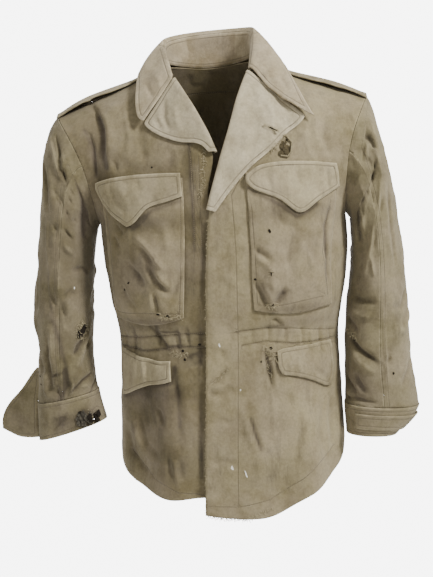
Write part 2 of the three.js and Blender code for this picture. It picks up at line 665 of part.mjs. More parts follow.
const backInward = {};
const halfSeam = vec(0, SEAM_GAP / 2, 0);
back.forEach((row, i) => {
  [['right', 0], ['left', BACK_COLUMNS]].forEach(([name, j]) => {
    const into = mitres[name];
    if (i === 0) backInward[`0,${j}`] = into[ARMHOLE_STEPS];
    else if (i < ARMHOLE_STEPS) backInward[`${i},${j}`] = into[ARMHOLE_STEPS + i];
    else {
      backInward[`${i},${j}`] = i === ARMHOLE_STEPS ? into[0] : sideSeamInward(sides[name].sign);
    }
    if (i === 0 || i >= ARMHOLE_STEPS) row[j].add(halfSeam);
  });
});
back[0].forEach((point, j) => {
  if (j === 0 || j === BACK_COLUMNS || Math.abs(point.x) < NECK_HALF) return;
  point.add(halfSeam);
  backInward[`0,${j}`] = crestInward(Math.sign(point.x));
});
garment.add(clothWall('back', back, CLOTH, finishOf('body'), { flip: true, inward: backInward }));

// Torn places, each one cell of a wall with its corners drawn to the tear's shape. They run from the upper
// corner nearer the inside of the arm, down and round, with along and turn as for the folds.
const tears = {
  under_sleeve_right: {
    row: 14,
    column: 8,
    corners: [
      { along: 0.645, turn: 27 }, { along: 0.669, turn: 37 }, { along: 0.679, turn: 53 }, { along: 0.636, turn: 45 },
    ],
  },
  cuff_right: {
    row: 2,
    column: 14,
    corners: [
      { along: 0.963, turn: 30 }, { along: 0.984, turn: 34 }, { along: 0.988, turn: 51 }, { along: 0.968, turn: 45 },
    ],
  },
};

// The corners of a piece's tear, if it has one, go to their own places
function openTear(pieceName, side, rows, proud) {
  const tear = tears[pieceName];
  if (!tear) return null;
  const loop = loops[side];
  const { row, column } = tear;
  const cell = [[row, column], [row + 1, column], [row + 1, column + 1], [row, column + 1]];
  cell.forEach(([i, j], n) => {
    const { along, turn } = tear.corners[n];
    const at = (share, degrees) => sleevePoint(side, loop, share, (degrees / 360) * loop.length);
    const point = at(along, turn);
    const down = at(along + 0.01, turn).sub(point);
    const round = at(along, turn + 3).sub(point);
    rows[i][j].copy(point.addScaledVector(down.cross(round).normalize(), proud * sides[side].sign));
  });
  return tear;
}

// Each sleeve is cut in two, a top sleeve over the outside of the arm and an under sleeve against the body.
// They meet at these two of the armhole's points; the count runs on past the whole loop.
const FRONT_SEAM = 6;
const BACK_SEAM = 18;
const sleevePieces = [
  { piece: 'top_sleeve', from: FRONT_SEAM, to: BACK_SEAM },
  { piece: 'under_sleeve', from: BACK_SEAM, to: FRONT_SEAM + 2 * ARMHOLE_STEPS },
];
for (const name of ['left', 'right']) {
  const { sign } = sides[name];
  const rings = sleeves[name];
  const count = rings[0].length;
  const normals = gridNormals(rings, true);
  for (const { piece, from, to } of sleevePieces) {
    const inward = {};
    const rows = rings.map((ring, i) => {
      const row = [];
      for (let k = from; k <= to; k += 1) row.push(ring[k % count].clone());
      for (const [j, k, step] of [[0, from, 1], [to - from, to, -1]]) {
        const along = ring[(k + step) % count].clone().sub(ring[k % count]).normalize();
        row[j].addScaledVector(along, SEAM_GAP / 2);
        inward[`${i},${j}`] = normals[i][k % count].clone().multiplyScalar(-sign * CLOTH);
      }
      return row;
    });
    rows[0].forEach((_, j) => { inward[`0,${j}`] = mitres[name][(from + j) % count]; });
    const tear = openTear(`${piece}_${name}`, name, rows, 0);
    garment.add(clothWall(`${piece}_${name}`, rows, CLOTH, finishOf('sleeve'), { flip: sign < 0, inward, tear }));
  }
}

// Cuffs: a doubled band sewn to the end of each sleeve, standing a little proud of it. The wearer's left one
// is closed all round, and the right one is open at the outside of the arm.
const CUFF_RINGS = 4;
const CUFF_PROUD = 1.2;
const CUFF_OPENING = 3;
for (const name of ['left', 'right']) {
  const loop = loops[name];
  const { sign } = sides[name];
  const rings = [];
  for (let j = 0; j <= CUFF_RINGS; j += 1) {
    const along = CUFF_START + 0.001 + ((1 - CUFF_START - 0.001) * j) / CUFF_RINGS;
    rings.push(loop.map((_, k) => sleevePoint(name, loop, along, k)));
  }
  const normals = gridNormals(rings, true);
  rings.forEach((ring, i) => ring.forEach((point, k) => {
    point.addScaledVector(normals[i][k], CUFF_PROUD * sign);
  }));
  const ring = name === 'left';
  const outside = loop.length / 2;
  const rows = ring ? rings : rings.map((points) => {
    const row = [];
    for (let k = 0; k <= points.length; k += 1) row.push(points[(outside + k) % points.length].clone());
    row[0].add(row[1].clone().sub(row[0]).setLength(CUFF_OPENING));
    return row;
  });
  const tear = openTear(`cuff_${name}`, name, rows, CUFF_PROUD);
  garment.add(clothWall(`cuff_${name}`, rows, FACED, finishOf('cuff'), { ring, flip: sign < 0, tear }));
}

// A place on a front panel's own faces, so that what is sewn on follows them exactly
function panelPlace(name, x, z) {
  const { sign } = sides[name];
  const rows = fronts[name];
  const spot = (i, j) => rows[i][j];
  for (let i = 0; i < rows.length - 1; i += 1) {
    for (let j = 0; j < FRONT_COLUMNS; j += 1) {
      const corners = [spot(i, j), spot(i + 1, j), spot(i + 1, j + 1), spot(i, j + 1)];
      for (const [a, b, c] of [[0, 1, 2], [0, 2, 3]].map((set) => set.map((n) => corners[n]))) {
        const area = (b.x - a.x) * (c.z - a.z) - (c.x - a.x) * (b.z - a.z);
        const u = ((x * sign - a.x) * (c.z - a.z) - (c.x - a.x) * (z - a.z)) / area;
        const v = ((b.x - a.x) * (z - a.z) - (x * sign - a.x) * (b.z - a.z)) / area;
        if (u < -1e-6 || v < -1e-6 || u + v > 1 + 1e-6) continue;
        return vec(x * sign, a.y + u * (b.y - a.y) + v * (c.y - a.y), z);
      }
    }
  }
  return onFront(name, x, z);
}

function onPanel(name, x, z, height) {
  const point = panelPlace(name, x, z);
  return point.addScaledVector(outwardAt('front', bodyPoint('front', point.x, z)), height);
}

// Chest pockets: a bellows bag on each side, deepest low down, under a flap with a point in the middle
const pocketBags = {
  left: {
    rest: 1.2,
    sag: 9,
    depth: 12,
    rows: [
      { v: 0, z: -178, inner: 46, outer: 180 }, { v: 0.26, z: -228, inner: 45, outer: 177 },
      { v: 0.62, z: -300, inner: 44, outer: 164 }, { v: 0.85, z: -350, inner: 43, outer: 163 },
      { v: 1, z: -384, inner: 45, outer: 162 },
    ],
  },
  right: {
    rest: 2.2,
    sag: 12,
    depth: 14,
    rows: [
      { v: 0, z: -180, inner: 49, outer: 178 }, { v: 0.25, z: -232, inner: 51, outer: 178 },
      { v: 0.6, z: -304, inner: 56, outer: 177 }, { v: 0.85, z: -360, inner: 60, outer: 173 },
      { v: 1, z: -392, inner: 62, outer: 170 },
    ],
  },
};
const BAG_ROWS = 11;
const BAG_COLUMNS = 9;

function bagHeight(bag, u, v) {
  const across = 1 - Math.abs(2 * clamp(u, 0, 1) - 1) ** 4;
  const down = ease(v / 0.75) * Math.min(1, (1 - clamp(v, 0, 1)) * 6);
  return bag.rest + CLOTH + across * (2 * ease(v / 0.1) + bag.depth * down) * (v >= 1 ? 0 : 1);
}

for (const name of ['left', 'right']) {
  const bag = pocketBags[name];
  const rows = [];
  for (let i = 0; i <= BAG_ROWS; i += 1) {
    const v = i / BAG_ROWS;
    const inner = readTable(bag.rows, 'v', 'inner', v);
    const outer = readTable(bag.rows, 'v', 'outer', v);
    const row = [];
    for (let j = 0; j <= BAG_COLUMNS; j += 1) {
      const u = j / BAG_COLUMNS;
      const x = inner + (outer - inner) * u;
      const z = readTable(bag.rows, 'v', 'z', v) - bag.sag * Math.sin(Math.PI * u) * v * v;
      row.push(onPanel(name, x, z, bagHeight(bag, u, v)));
    }
    rows.push(row);
  }
  const flip = sides[name].sign < 0;
  garment.add(clothWall(`chest_pocket_${name}`, rows, CLOTH, finishOf('body'), { flip }));
}

// The height of whatever lies on a front at a place: the pocket bag, where there is one
function pocketTop(name, x, z) {
  const bag = pocketBags[name];
  const v = clamp((bag.rows[0].z - z) / (bag.rows[0].z - bag.rows[bag.rows.length - 1].z), 0, 1);
  const inner = readTable(bag.rows, 'v', 'inner', v);
  const outer = readTable(bag.rows, 'v', 'outer', v);
  return bagHeight(bag, (x - inner) / (outer - inner), v);
}

// Flaps: a row for each place across, with the top and lower edge there
const flaps = {
  chest_flap_left: {
    side: 'left',
    onBag: true,
    places: [
      { x: 45, top: -183, bottom: -192 }, { x: 50, top: -178, bottom: -200 }, { x: 60, top: -171, bottom: -205 },
      { x: 70, top: -167, bottom: -209 }, { x: 94, top: -164, bottom: -220 }, { x: 118, top: -164, bottom: -241 }, { x: 147, top: -166, bottom: -223 },
      { x: 165, top: -168, bottom: -214 }, { x: 183, top: -170, bottom: -205 },
    ],
  },
  chest_flap_right: {
    side: 'right',
    onBag: true,
    places: [
      { x: 51, top: -173, bottom: -208 }, { x: 79, top: -172, bottom: -216 }, { x: 103, top: -172, bottom: -222 },
      { x: 118, top: -172, bottom: -237 }, { x: 133, top: -173, bottom: -250 }, { x: 150, top: -174, bottom: -239 },
      { x: 166, top: -176, bottom: -226 }, { x: 178, top: -179, bottom: -208 }, { x: 184, top: -181, bottom: -194 },
    ],
  },
  skirt_flap_left: {
    side: 'left',
    onBag: false,
    places: [
      { x: 77, top: -450, bottom: -474 }, { x: 80, top: -448, bottom: -484 }, { x: 97, top: -446, bottom: -489 },
      { x: 117, top: -445, bottom: -495 }, { x: 134, top: -444, bottom: -503 }, { x: 150, top: -443, bottom: -513 },
      { x: 157, top: -443, bottom: -512 }, { x: 161, top: -443, bottom: -500 },
    ],
  },
  skirt_flap_right: {
    side: 'right',
    onBag: false,
    places: [
      { x: 87, top: -460, bottom: -491 }, { x: 105, top: -461, bottom: -496 }, { x: 120, top: -458, bottom: -499 },
      { x: 134, top: -456, bottom: -504 }, { x: 150, top: -450, bottom: -511 }, { x: 162, top: -446, bottom: -517 },
      { x: 168, top: -444, bottom: -519 },
    ],
  },
};
const FLAP_ROWS = 4;
const FLAP_COLUMNS = 14;
const FLAP_BOW = 3;

for (const [flapName, flap] of Object.entries(flaps)) {
  const { side, places } = flap;
  const first = places[0].x;
  const width = places[places.length - 1].x - first;
  const rows = [];
  for (let i = 0; i <= FLAP_ROWS; i += 1) {
    const row = [];
    for (let j = 0; j <= FLAP_COLUMNS; j += 1) {
      const x = first + (width * j) / FLAP_COLUMNS;
      const top = readTable(places, 'x', 'top', x);
      const bottom = readTable(places, 'x', 'bottom', x);
      const down = i / FLAP_ROWS;
      const z = top + (bottom - top) * down;
      const under = flap.onBag ? pocketTop(side, x, z) : 0;
      const height = under + REST_GAP + FACED + FLAP_BOW * Math.sin(Math.PI * down) * 0.5;
      row.push(onPanel(side, x, z, height));
    }
    rows.push(row);
  }
  garment.add(clothWall(flapName, rows, FACED, finishOf('flap'), { flip: sides[side].sign < 0 }));
}

// Lapels: each row leaves the roll line, turns over and lies back on the chest as far as (x, z)
const lapels = {
  left: [
    { rollZ: -28, x: 144, z: -98 }, { rollZ: -55, x: 134, z: -110 }, { rollZ: -82, x: 111, z: -124 },
    { rollZ: -108, x: 94, z: -141 }, { rollZ: -134, x: 73, z: -156 }, { rollZ: -160, x: 54, z: -170 },
    { rollZ: -190, x: 29, z: -194 }, { rollZ: -212, x: 9, z: -217 }, { rollZ: -230, x: -4, z: -233 },
  ],
  right: [
    { rollZ: -32, x: 101, z: -94 }, { rollZ: -48, x: 95, z: -103 }, { rollZ: -64, x: 77, z: -115 },
    { rollZ: -82, x: 58, z: -123 }, { rollZ: -98, x: 43, z: -127 }, { rollZ: -114, x: 28, z: -128 },
    { rollZ: -130, x: 15, z: -133 }, { rollZ: -144, x: 6, z: -144 },
  ],
};
// The turn at the roll line: how far past it towards the middle, and how high over the panel
const rollTurn = [
  { past: 2, height: -2.1 }, { past: 4, height: 0.4 }, { past: 5, height: 3.4 },
  { past: 4.2, height: 6.4 }, { past: 1.2, height: 8.4 },
];
const LAPEL_ROWS = 14;
const LAPEL_COLUMNS = 6;
// Where a front's own edge is at a height
function rollPlace(name, z) {
  const edge = fronts[name].map((row) => ({ x: Math.abs(row[0].x) * Math.sign(row[0].x * sides[name].sign), z: row[0].z }));
  const low = edge.findIndex((point) => point.z <= z);
  const t = (z - edge[low - 1].z) / (edge[low].z - edge[low - 1].z);
  return THREE.MathUtils.lerp(edge[low - 1].x, edge[low].x, t);
}
const LAPEL_HIGH = 8.4;
const LAPEL_LOW = 3.6;

for (const name of ['left', 'right']) {
  const { sign } = sides[name];
  const shape = lapels[name].map((row, index) => ({ ...row, index }));
  const rows = [];
  for (let i = 0; i <= LAPEL_ROWS; i += 1) {
    const at = (i * (shape.length - 1)) / LAPEL_ROWS;
    const rollZ = readTable(shape, 'index', 'rollZ', at);
    const rollX = rollPlace(name, rollZ);
    const endX = readTable(shape, 'index', 'x', at);
    const endZ = readTable(shape, 'index', 'z', at);
    const start = onPanel(name, rollX + 0.01, rollZ, 0);
    const out = outwardAt('front', bodyPoint('front', start.x, rollZ));
    const width = Math.hypot(endX - rollX, endZ - rollZ);
    const reach = Math.min(1, width / 30);
    const across = vec((endX - rollX) * sign, 0, endZ - rollZ).divideScalar(width);
    across.addScaledVector(out, -across.dot(out)).normalize();
    const row = rollTurn.map(({ past, height }) => (
      start.clone().addScaledVector(across, -past).addScaledVector(out, height)
    ));
    for (let j = 1; j <= LAPEL_COLUMNS; j += 1) {
      const share = j / LAPEL_COLUMNS;
      const drop = ease(share * 1.15) * reach;
      const height = LAPEL_HIGH + (LAPEL_LOW - LAPEL_HIGH) * drop;
      row.push(onPanel(name, rollX + (endX - rollX) * share, rollZ + (endZ - rollZ) * share, height));
    }
    rows.push(row);
  }
  garment.add(clothWall(`lapel_${name}`, rows, CLOTH, finishOf('lapel'), { flip: sign < 0 }));
}

// Collar: a row for each place round the neck from the front end to the nape. The fold is the top of the
// roll, the edge is the leaf's outer edge on the body, in front, on the shoulder or behind.
const collarPlaces = {
  left: [
    { foldX: 66, foldY: -52, foldZ: -19, on: 'front', x: 154, z: -104 },
    { foldX: 70, foldY: -32, foldZ: 8, on: 'front', x: 141, z: -79 },
    { foldX: 72, foldY: -10, foldZ: 31, on: 'front', x: 129, z: -52 },
    { foldX: 73, foldY: 8, foldZ: 43, on: 'crest', x: 115, z: -11 },
    { foldX: 70, foldY: 28, foldZ: 48, on: 'back', x: 112, z: -44 },
    { foldX: 57, foldY: 47, foldZ: 50, on: 'back', x: 96, z: -50 },
    { foldX: 31, foldY: 61, foldZ: 51, on: 'back', x: 56, z: -44 },
  ],
  right: [
    { foldX: 53, foldY: -65, foldZ: -26, on: 'front', x: 99, z: -94 },
    { foldX: 62, foldY: -41, foldZ: 3, on: 'front', x: 108, z: -88 },
    { foldX: 69, foldY: -8, foldZ: 23, on: 'front', x: 109, z: -50 },
    { foldX: 72, foldY: 9, foldZ: 34, on: 'crest', x: 108, z: -10 },
    { foldX: 70, foldY: 28, foldZ: 40, on: 'back', x: 106, z: -38 },
    { foldX: 57, foldY: 47, foldZ: 45, on: 'back', x: 92, z: -47 },
    { foldX: 32, foldY: 61, foldZ: 49, on: 'back', x: 54, z: -44 },
  ],
};
const collarBack = { foldX: 0, foldY: 66, foldZ: 51, edgeZ: -40 };
const LEAF_HEIGHT = { front: 9.5, back: 6 };
const COLLAR_ROWS = 28;
const LEAF_COLUMNS = 5;
const FOLD_REACH = 5;
const FOLD_SPREAD = 2.6;
const LEAF_BOW = 3;
const CREST_EDGE_Y = -12;
const LEAF_DIP = 12;            // how far the left leaf's front edge bows down, to meet its lapel
const DIP_START = 0.9;
const FRONT_SEAMS = 3;          // rows whose stand is sewn to the front, before the shoulder

function collarEnds(name, place, index) {
  const { sign } = sides[name];
  let leaf = vec(place.x, CREST_EDGE_Y, place.z);
  if (place.on === 'front') leaf = onFront(name, place.x, place.z, LEAF_HEIGHT.front);
  if (place.on === 'back') leaf = onBack(place.x, place.z, LEAF_HEIGHT.back);
  leaf.x = Math.abs(leaf.x);
  let seam;
  if (index < FRONT_SEAMS) {
    const z = [-23, -13, -4][index];
    seam = onFront(name, rollPlace(name, z) + 0.6, z, 2.6);
    seam.x = Math.abs(seam.x);
  } else {
    const turn = ((index - FRONT_SEAMS) / (collarPlaces[name].length - FRONT_SEAMS)) * (Math.PI / 2);
    const x = NECK_HALF * Math.cos(turn) - 0.8;
    seam = backTopPoint(Math.max(x, 0), 1, true);
    seam.y = Math.max(seam.y, 2) - 0.8;
    seam.z += 1.2;
  }
  const fold = vec(place.foldX, place.foldY, place.foldZ);
  return { seam, fold, leaf, sign };
}

const collarRing = [];
for (const name of ['right', 'left']) {
  const ends = collarPlaces[name].map((place, index) => collarEnds(name, place, index));
  for (const end of ends) for (const part of ['seam', 'fold', 'leaf']) end[part].x *= end.sign;
  if (name === 'right') {
    const nape = backTopPoint(0, 1, true).add(vec(0, -0.8, 1.2));
    const middle = vec(collarBack.foldX, collarBack.foldY, collarBack.foldZ);
    const leaf = onBack(0, collarBack.edgeZ, LEAF_HEIGHT.back);
    collarRing.push(...ends, { seam: nape, fold: middle, leaf });
  } else collarRing.push(...ends.reverse());
}

function alongCollar(part, at) {
  const curve = new THREE.CatmullRomCurve3(collarRing.map((row) => row[part]), false, 'centripetal');
  return curve.getPoint(at);
}

const collarRows = [];
for (let i = 0; i <= COLLAR_ROWS; i += 1) {
  const at = i / COLLAR_ROWS;
  const seam = alongCollar('seam', at);
  const fold = alongCollar('fold', at);
  const leaf = alongCollar('leaf', at);
  const toSeam = seam.clone().sub(fold).normalize();
  const toLeaf = leaf.clone().sub(fold).normalize();
  const apart = toLeaf.clone().sub(toSeam).normalize();
  const standTop = fold.clone().addScaledVector(toSeam, FOLD_REACH).addScaledVector(apart, -FOLD_SPREAD);
  const leafTop = fold.clone().addScaledVector(toLeaf, FOLD_REACH).addScaledVector(apart, FOLD_SPREAD);
  const row = [seam, seam.clone().lerp(standTop, 0.5), standTop, fold, leafTop];
  const dip = LEAF_DIP * ease((at - DIP_START) / (1 - DIP_START));
  for (let j = 1; j <= LEAF_COLUMNS; j += 1) {
    const share = j / LEAF_COLUMNS;
    const point = leafTop.clone().lerp(leaf, share).addScaledVector(apart, LEAF_BOW * Math.sin(Math.PI * share));
    const bowed = dip * Math.sin(Math.PI * share ** 0.6);
    row.push(point.add(vec(0, -0.55 * bowed, -bowed)));
  }
  collarRows.push(row);
}

// The stand and the leaf are two pieces, joined along the inside of the fold
const STAND_COLUMNS = 2;
const collarNormals = gridNormals(collarRows, false);
const collarPieces = [
  { name: 'collar_stand', from: 0, to: STAND_COLUMNS, seam: STAND_COLUMNS, step: -1 },
  { name: 'collar_leaf', from: STAND_COLUMNS, to: collarRows[0].length - 1, seam: 0, step: 1 },
];
for (const { name, from, to, seam, step } of collarPieces) {
  const inward = {};
  const rows = collarRows.map((row, i) => {
    const part = row.slice(from, to + 1).map((point) => point.clone());
    const away = part[seam + step].clone().sub(part[seam]).setLength(SEAM_GAP / 2);
    part[seam].add(away);
    inward[`${i},${seam}`] = collarNormals[i][STAND_COLUMNS].clone().multiplyScalar(COLLAR_CLOTH);
    return part;
  });
  garment.add(clothWall(name, rows, COLLAR_CLOTH, finishOf('collar'), { flip: true, inward }));
}

// Shoulder straps: sewn in at the armhole, arched over the shoulder, their ends under the collar
const straps = {
  left: [
    { x: 108, lift: 3.4, half: 9 }, { x: 113, lift: 3.4, half: 16 }, { x: 130, lift: 4.4, half: 21 },
    { x: 165, lift: 8.5, half: 23 }, { x: 200, lift: 10, half: 24 }, { x: 228, lift: 7, half: 25 },
    { x: 244, lift: 3.6, half: 25 },
  ],
  right: [
    { x: 101, lift: 3.4, half: 9 }, { x: 106, lift: 3.4, half: 16 }, { x: 124, lift: 5, half: 21 },
    { x: 165, lift: 11, half: 23 }, { x: 200, lift: 13, half: 24 }, { x: 228, lift: 9, half: 25 },
    { x: 244, lift: 3.6, half: 25 },
  ],
};
const STRAP_ROWS = 10;
const STRAP_COLUMNS = 5;
const CREST_SHARE = 0.88;

function shoulderTop(x, y) {
  const chest = y < 0 ? CHEST_FRONT : CHEST_BACK;
  const depth = Math.abs(y) / (chest * CREST_SHARE);
  const rise = (1 - depth ** SHOULDER_SQUARENESS) ** (1 / SHOULDER_SQUARENESS);
  return ARMPIT_Z + (crestHeight(x) - ARMPIT_Z) * rise;
}

for (const name of ['left', 'right']) {
  const { sign } = sides[name];
  const table = straps[name];
  const rows = [];
  for (let i = 0; i <= STRAP_ROWS; i += 1) {
    const x = table[0].x + ((table[table.length - 1].x - table[0].x) * i) / STRAP_ROWS;
    const half = readTable(table, 'x', 'half', x);
    const row = [];
    for (let j = 0; j <= STRAP_COLUMNS; j += 1) {
      const y = half * ((2 * j) / STRAP_COLUMNS - 1);
      row.push(vec(x * sign, y, shoulderTop(x, y) + readTable(table, 'x', 'lift', x)));
    }
    rows.push(row);
  }
  garment.add(clothWall(`shoulder_strap_${name}`, rows, FACED, finishOf('flap'), { flip: sign < 0 }));
}

// The wearer's right cuff is unfastened, and its vent's flap stands out from the sleeve
const ventRows = [
  { along: 0.79, reach: 5, y: -24 }, { along: 0.83, reach: 18, y: -22 }, { along: 0.87, reach: 31, y: -19 },
  { along: 0.91, reach: 50, y: -16 }, { along: 0.95, reach: 61, y: -14 }, { along: 0.98, reach: 58, y: -15 },
  { along: 0.995, reach: 36, y: -18 },
];
const VENT_STEPS = 10;
const VENT_COLUMNS = 5;
const VENT_GAP = 1.6;
const outermost = loops.right.length / 2;
const vent = [];
for (let i = 0; i <= VENT_STEPS; i += 1) {
  const first = ventRows[0].along;
  const along = first + ((ventRows[ventRows.length - 1].along - first) * i) / VENT_STEPS;
  const root = sleevePoint('right', loops.right, along, outermost);
  const reach = readTable(ventRows, 'along', 'reach', along);
  const row = [];
  for (let j = 0; j <= VENT_COLUMNS; j += 1) {
    const share = j / VENT_COLUMNS;
    const cuffs = along > CUFF_START - 0.01 ? CUFF_PROUD : 0;
    const x = root.x - VENT_GAP - cuffs - reach * share;
    const y = root.y + (readTable(ventRows, 'along', 'y', along) + 32) * share * 0.8;
    row.push(vec(x, y, root.z - 6 * share * (1 - share)));
  }
  vent.push(row);
}
garment.add(clothWall('cuff_vent_right', vent, FACED, finishOf('cuff'), { flip: true }));

// The wearer's left cuff is held by a tab that runs round its front, with a rounded end
const TAB_FROM = 46;
const TAB_TO = 205;
const TAB_COLUMNS = 14;
const TAB_ROWS = 3;
const TAB_TOP = 0.925;
const TAB_DEEP = 0.05;
const tab = [];
for (let i = 0; i <= TAB_ROWS; i += 1) {
  const row = [];
  for (let j = 0; j <= TAB_COLUMNS; j += 1) {
    const share = j / TAB_COLUMNS;
    const turn = TAB_FROM + (TAB_TO - TAB_FROM) * share;
    const round = Math.sqrt(clamp((1 - share) * 12, 0.12, 1));
    const along = TAB_TOP + TAB_DEEP * (0.5 + (i / TAB_ROWS - 0.5) * round);
    const k = (turn / 360) * loops.left.length;
    const low = Math.floor(k);
    const at = (n, shift) => sleevePoint('left', loops.left, along + shift, n % loops.left.length);
    const here = at(low, 0).lerp(at(low + 1, 0), k - low);
    const next = at(low + 1, 0).sub(at(low, 0));
    const below = at(low, 0.01).sub(at(low, 0));
    const out = below.cross(next).normalize();
    row.push(here.addScaledVector(out, CUFF_PROUD + REST_GAP + FACED));
  }
  tab.push(row);
}
garment.add(clothWall('cuff_tab_left', tab, FACED, finishOf('cuff')));

export default garment;
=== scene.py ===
import math

import bmesh
import bpy
import numpy as np
from mathutils import Matrix, Vector
from mathutils.bvhtree import BVHTree
from mathutils.interpolate import poly_3d_calc
from mathutils.kdtree import KDTree


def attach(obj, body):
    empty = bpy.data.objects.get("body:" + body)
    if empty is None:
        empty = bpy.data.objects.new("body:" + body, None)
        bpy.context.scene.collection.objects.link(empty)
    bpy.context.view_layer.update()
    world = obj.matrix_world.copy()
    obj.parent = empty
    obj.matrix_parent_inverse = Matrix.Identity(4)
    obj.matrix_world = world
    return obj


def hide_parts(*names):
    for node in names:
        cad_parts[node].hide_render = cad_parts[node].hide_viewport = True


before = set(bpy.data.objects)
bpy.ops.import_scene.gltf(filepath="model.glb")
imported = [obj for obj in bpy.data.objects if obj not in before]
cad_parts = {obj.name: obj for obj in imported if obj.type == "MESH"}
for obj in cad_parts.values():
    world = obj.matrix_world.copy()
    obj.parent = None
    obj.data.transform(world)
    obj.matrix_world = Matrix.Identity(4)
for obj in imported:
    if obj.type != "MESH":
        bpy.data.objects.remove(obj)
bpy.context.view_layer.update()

# Camera, floor and light
# A long lens from chest height, turned a little to the jacket's left, and soft light from high on the right.
aim = Vector((-0.003, 0.0, -0.362))
level_distance, camera_rise = 2.0, 0.221
photo_height, focal_length = 577, 1250  # in pixels
turned, raised, rolled = math.radians(3.0), math.atan2(camera_rise, level_distance), math.radians(2.5)
back_way = Vector(
    (math.sin(turned) * math.cos(raised), -math.cos(turned) * math.cos(raised), math.sin(raised))
)
level_right = Vector((math.cos(turned), math.sin(turned), 0))
level_up = back_way.cross(level_right)
right_way = level_right * math.cos(rolled) - level_up * math.sin(rolled)
up_way = level_right * math.sin(rolled) + level_up * math.cos(rolled)
lens = bpy.data.cameras.new("camera")
lens.sensor_fit = "VERTICAL"
lens.sensor_height = 36
lens.lens = lens.sensor_height * focal_length / photo_height
camera = bpy.data.objects.new("camera", lens)
bpy.context.scene.collection.objects.link(camera)
place = aim + back_way * (level_distance / math.cos(raised))
camera.matrix_world = Matrix((
    (right_way.x, up_way.x, back_way.x, place.x),
    (right_way.y, up_way.y, back_way.y, place.y),
    (right_way.z, up_way.z, back_way.z, place.z),
    (0, 0, 0, 1),
))
bpy.context.scene.camera = camera

floor_radius, floor_level = 1.15, -1.25
ground = bmesh.new()
bmesh.ops.create_circle(
    ground, cap_ends=True, segments=64, radius=floor_radius, matrix=Matrix.Translation((0, 0, floor_level))
)
ground_mesh = bpy.data.meshes.new("floor")
ground.to_mesh(ground_mesh)
ground.free()
floor = bpy.data.objects.new("floor", ground_mesh)
bpy.context.scene.collection.objects.link(floor)
pale = bpy.data.materials.new("pale floor")
pale.use_nodes = True
pale.node_tree.nodes["Principled BSDF"].inputs["Base Color"].default_value = (0.93, 0.93, 0.93, 1)
pale.node_tree.nodes["Principled BSDF"].inputs["Roughness"].default_value = 0.9
ground_mesh.materials.append(pale)

card_middle, card_half_size = (-0.24, 4.5, -0.86), (1.27, 1.66, 1, 1)
card_place = Matrix.Translation(card_middle) @ Matrix.Rotation(math.pi / 2, 4, "X")
card = bmesh.new()
bmesh.ops.create_grid(
    card, x_segments=1, y_segments=1, size=1, matrix=card_place @ Matrix.Diagonal(card_half_size)
)
card_mesh = bpy.data.meshes.new("backdrop")
card.to_mesh(card_mesh)
card.free()
backdrop = bpy.data.objects.new("backdrop", card_mesh)
bpy.context.scene.collection.objects.link(backdrop)
bright = bpy.data.materials.new("lit backdrop")
bright.use_nodes = True
lit = bright.node_tree.nodes["Principled BSDF"].inputs
lit["Base Color"].default_value = (0.9, 0.9, 0.9, 1)
lit["Emission Color"].default_value = (1, 1, 1, 1)
lit["Emission Strength"].default_value = 6
card_mesh.materials.append(bright)

studio = bpy.data.worlds.new("studio")
studio.use_nodes = True
studio.node_tree.nodes["Background"].inputs["Color"].default_value = (1, 1, 1, 1)
studio.node_tree.nodes["Background"].inputs["Strength"].default_value = 0.74
bpy.context.scene.world = studio


def soft_light(name, at, size, watts):
    """A square light that faces the jacket's chest."""
    chest = Vector((0, 0, -0.3))
    lamp = bpy.data.lights.new(name, "AREA")
    lamp.size = size
    lamp.energy = watts
    holder = bpy.data.objects.new(name, lamp)
    facing = (chest - Vector(at)).to_track_quat("-Z", "Y").to_matrix().to_4x4()
    holder.matrix_world = Matrix.Translation(at) @ facing
    bpy.context.scene.collection.objects.link(holder)


soft_light("key light", (1.9, -1.45, 1.6), 0.5, 122)
soft_light("fill light", (-1.9, -1.6, 0.4), 1.8, 3)
soft_light("back light", (-1.4, 1.8, 1.5), 0.5, 34)

# Fronts
# The two front panels of washed cotton sateen, sewn to the back at shoulder and side. The left one laps
# over the right one, and both are drawn in at the waist by a cord in a casing stitched on the inside.
# All places and lengths below are in mm: x to the jacket's left, z up from the neck opening.
LEAN, LEAN_END, TILT = 14.0, 330.0, math.tan(math.radians(1.4))


def eased(t):
    t = np.clip(t, 0, 1)
    return t * t * (3 - 2 * t)


def unlean(points):
    """The jacket hangs a little to one side. Patterns and creases are placed on it as if it hung straight."""
    straight = points.copy()
    for _ in range(5):
        hung = eased(-straight[:, 2] / LEAN_END)
        straight[:, 0] = points[:, 0] - LEAN * hung
        straight[:, 2] = points[:, 2] - straight[:, 0] * TILT * (1 - hung)
    return straight


def from_wall(node, name, levels, sharp=42):
    """A rounded copy of a cloth wall: its triangles joined to quads, its cut edges kept crisp."""
    shape = bmesh.new()
    shape.from_mesh(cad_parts[node].data)
    bmesh.ops.remove_doubles(shape, verts=shape.verts, dist=1e-6)
    bmesh.ops.join_triangles(shape, faces=shape.faces, angle_face_threshold=math.pi,
                             angle_shape_threshold=math.pi, topology_influence=1.0)
    crisp = shape.edges.layers.float.new("crease_edge")
    for edge in shape.edges:
        if len(edge.link_faces) == 2 and edge.calc_face_angle() > math.radians(sharp):
            edge[crisp] = 1
    rough = bpy.data.meshes.new(name + " rough")
    shape.to_mesh(rough)
    shape.free()
    piece = bpy.data.objects.new(name, rough)
    bpy.context.scene.collection.objects.link(piece)
    rounding = piece.modifiers.new("rounding", "SUBSURF")
    rounding.levels = rounding.render_levels = max(levels - (0), 1)
    cloth = bpy.data.meshes.new_from_object(piece.evaluated_get(bpy.context.evaluated_depsgraph_get()))
    cloth.name = name
    piece.modifiers.clear()
    piece.data = cloth
    bpy.data.meshes.remove(rough)
    return piece


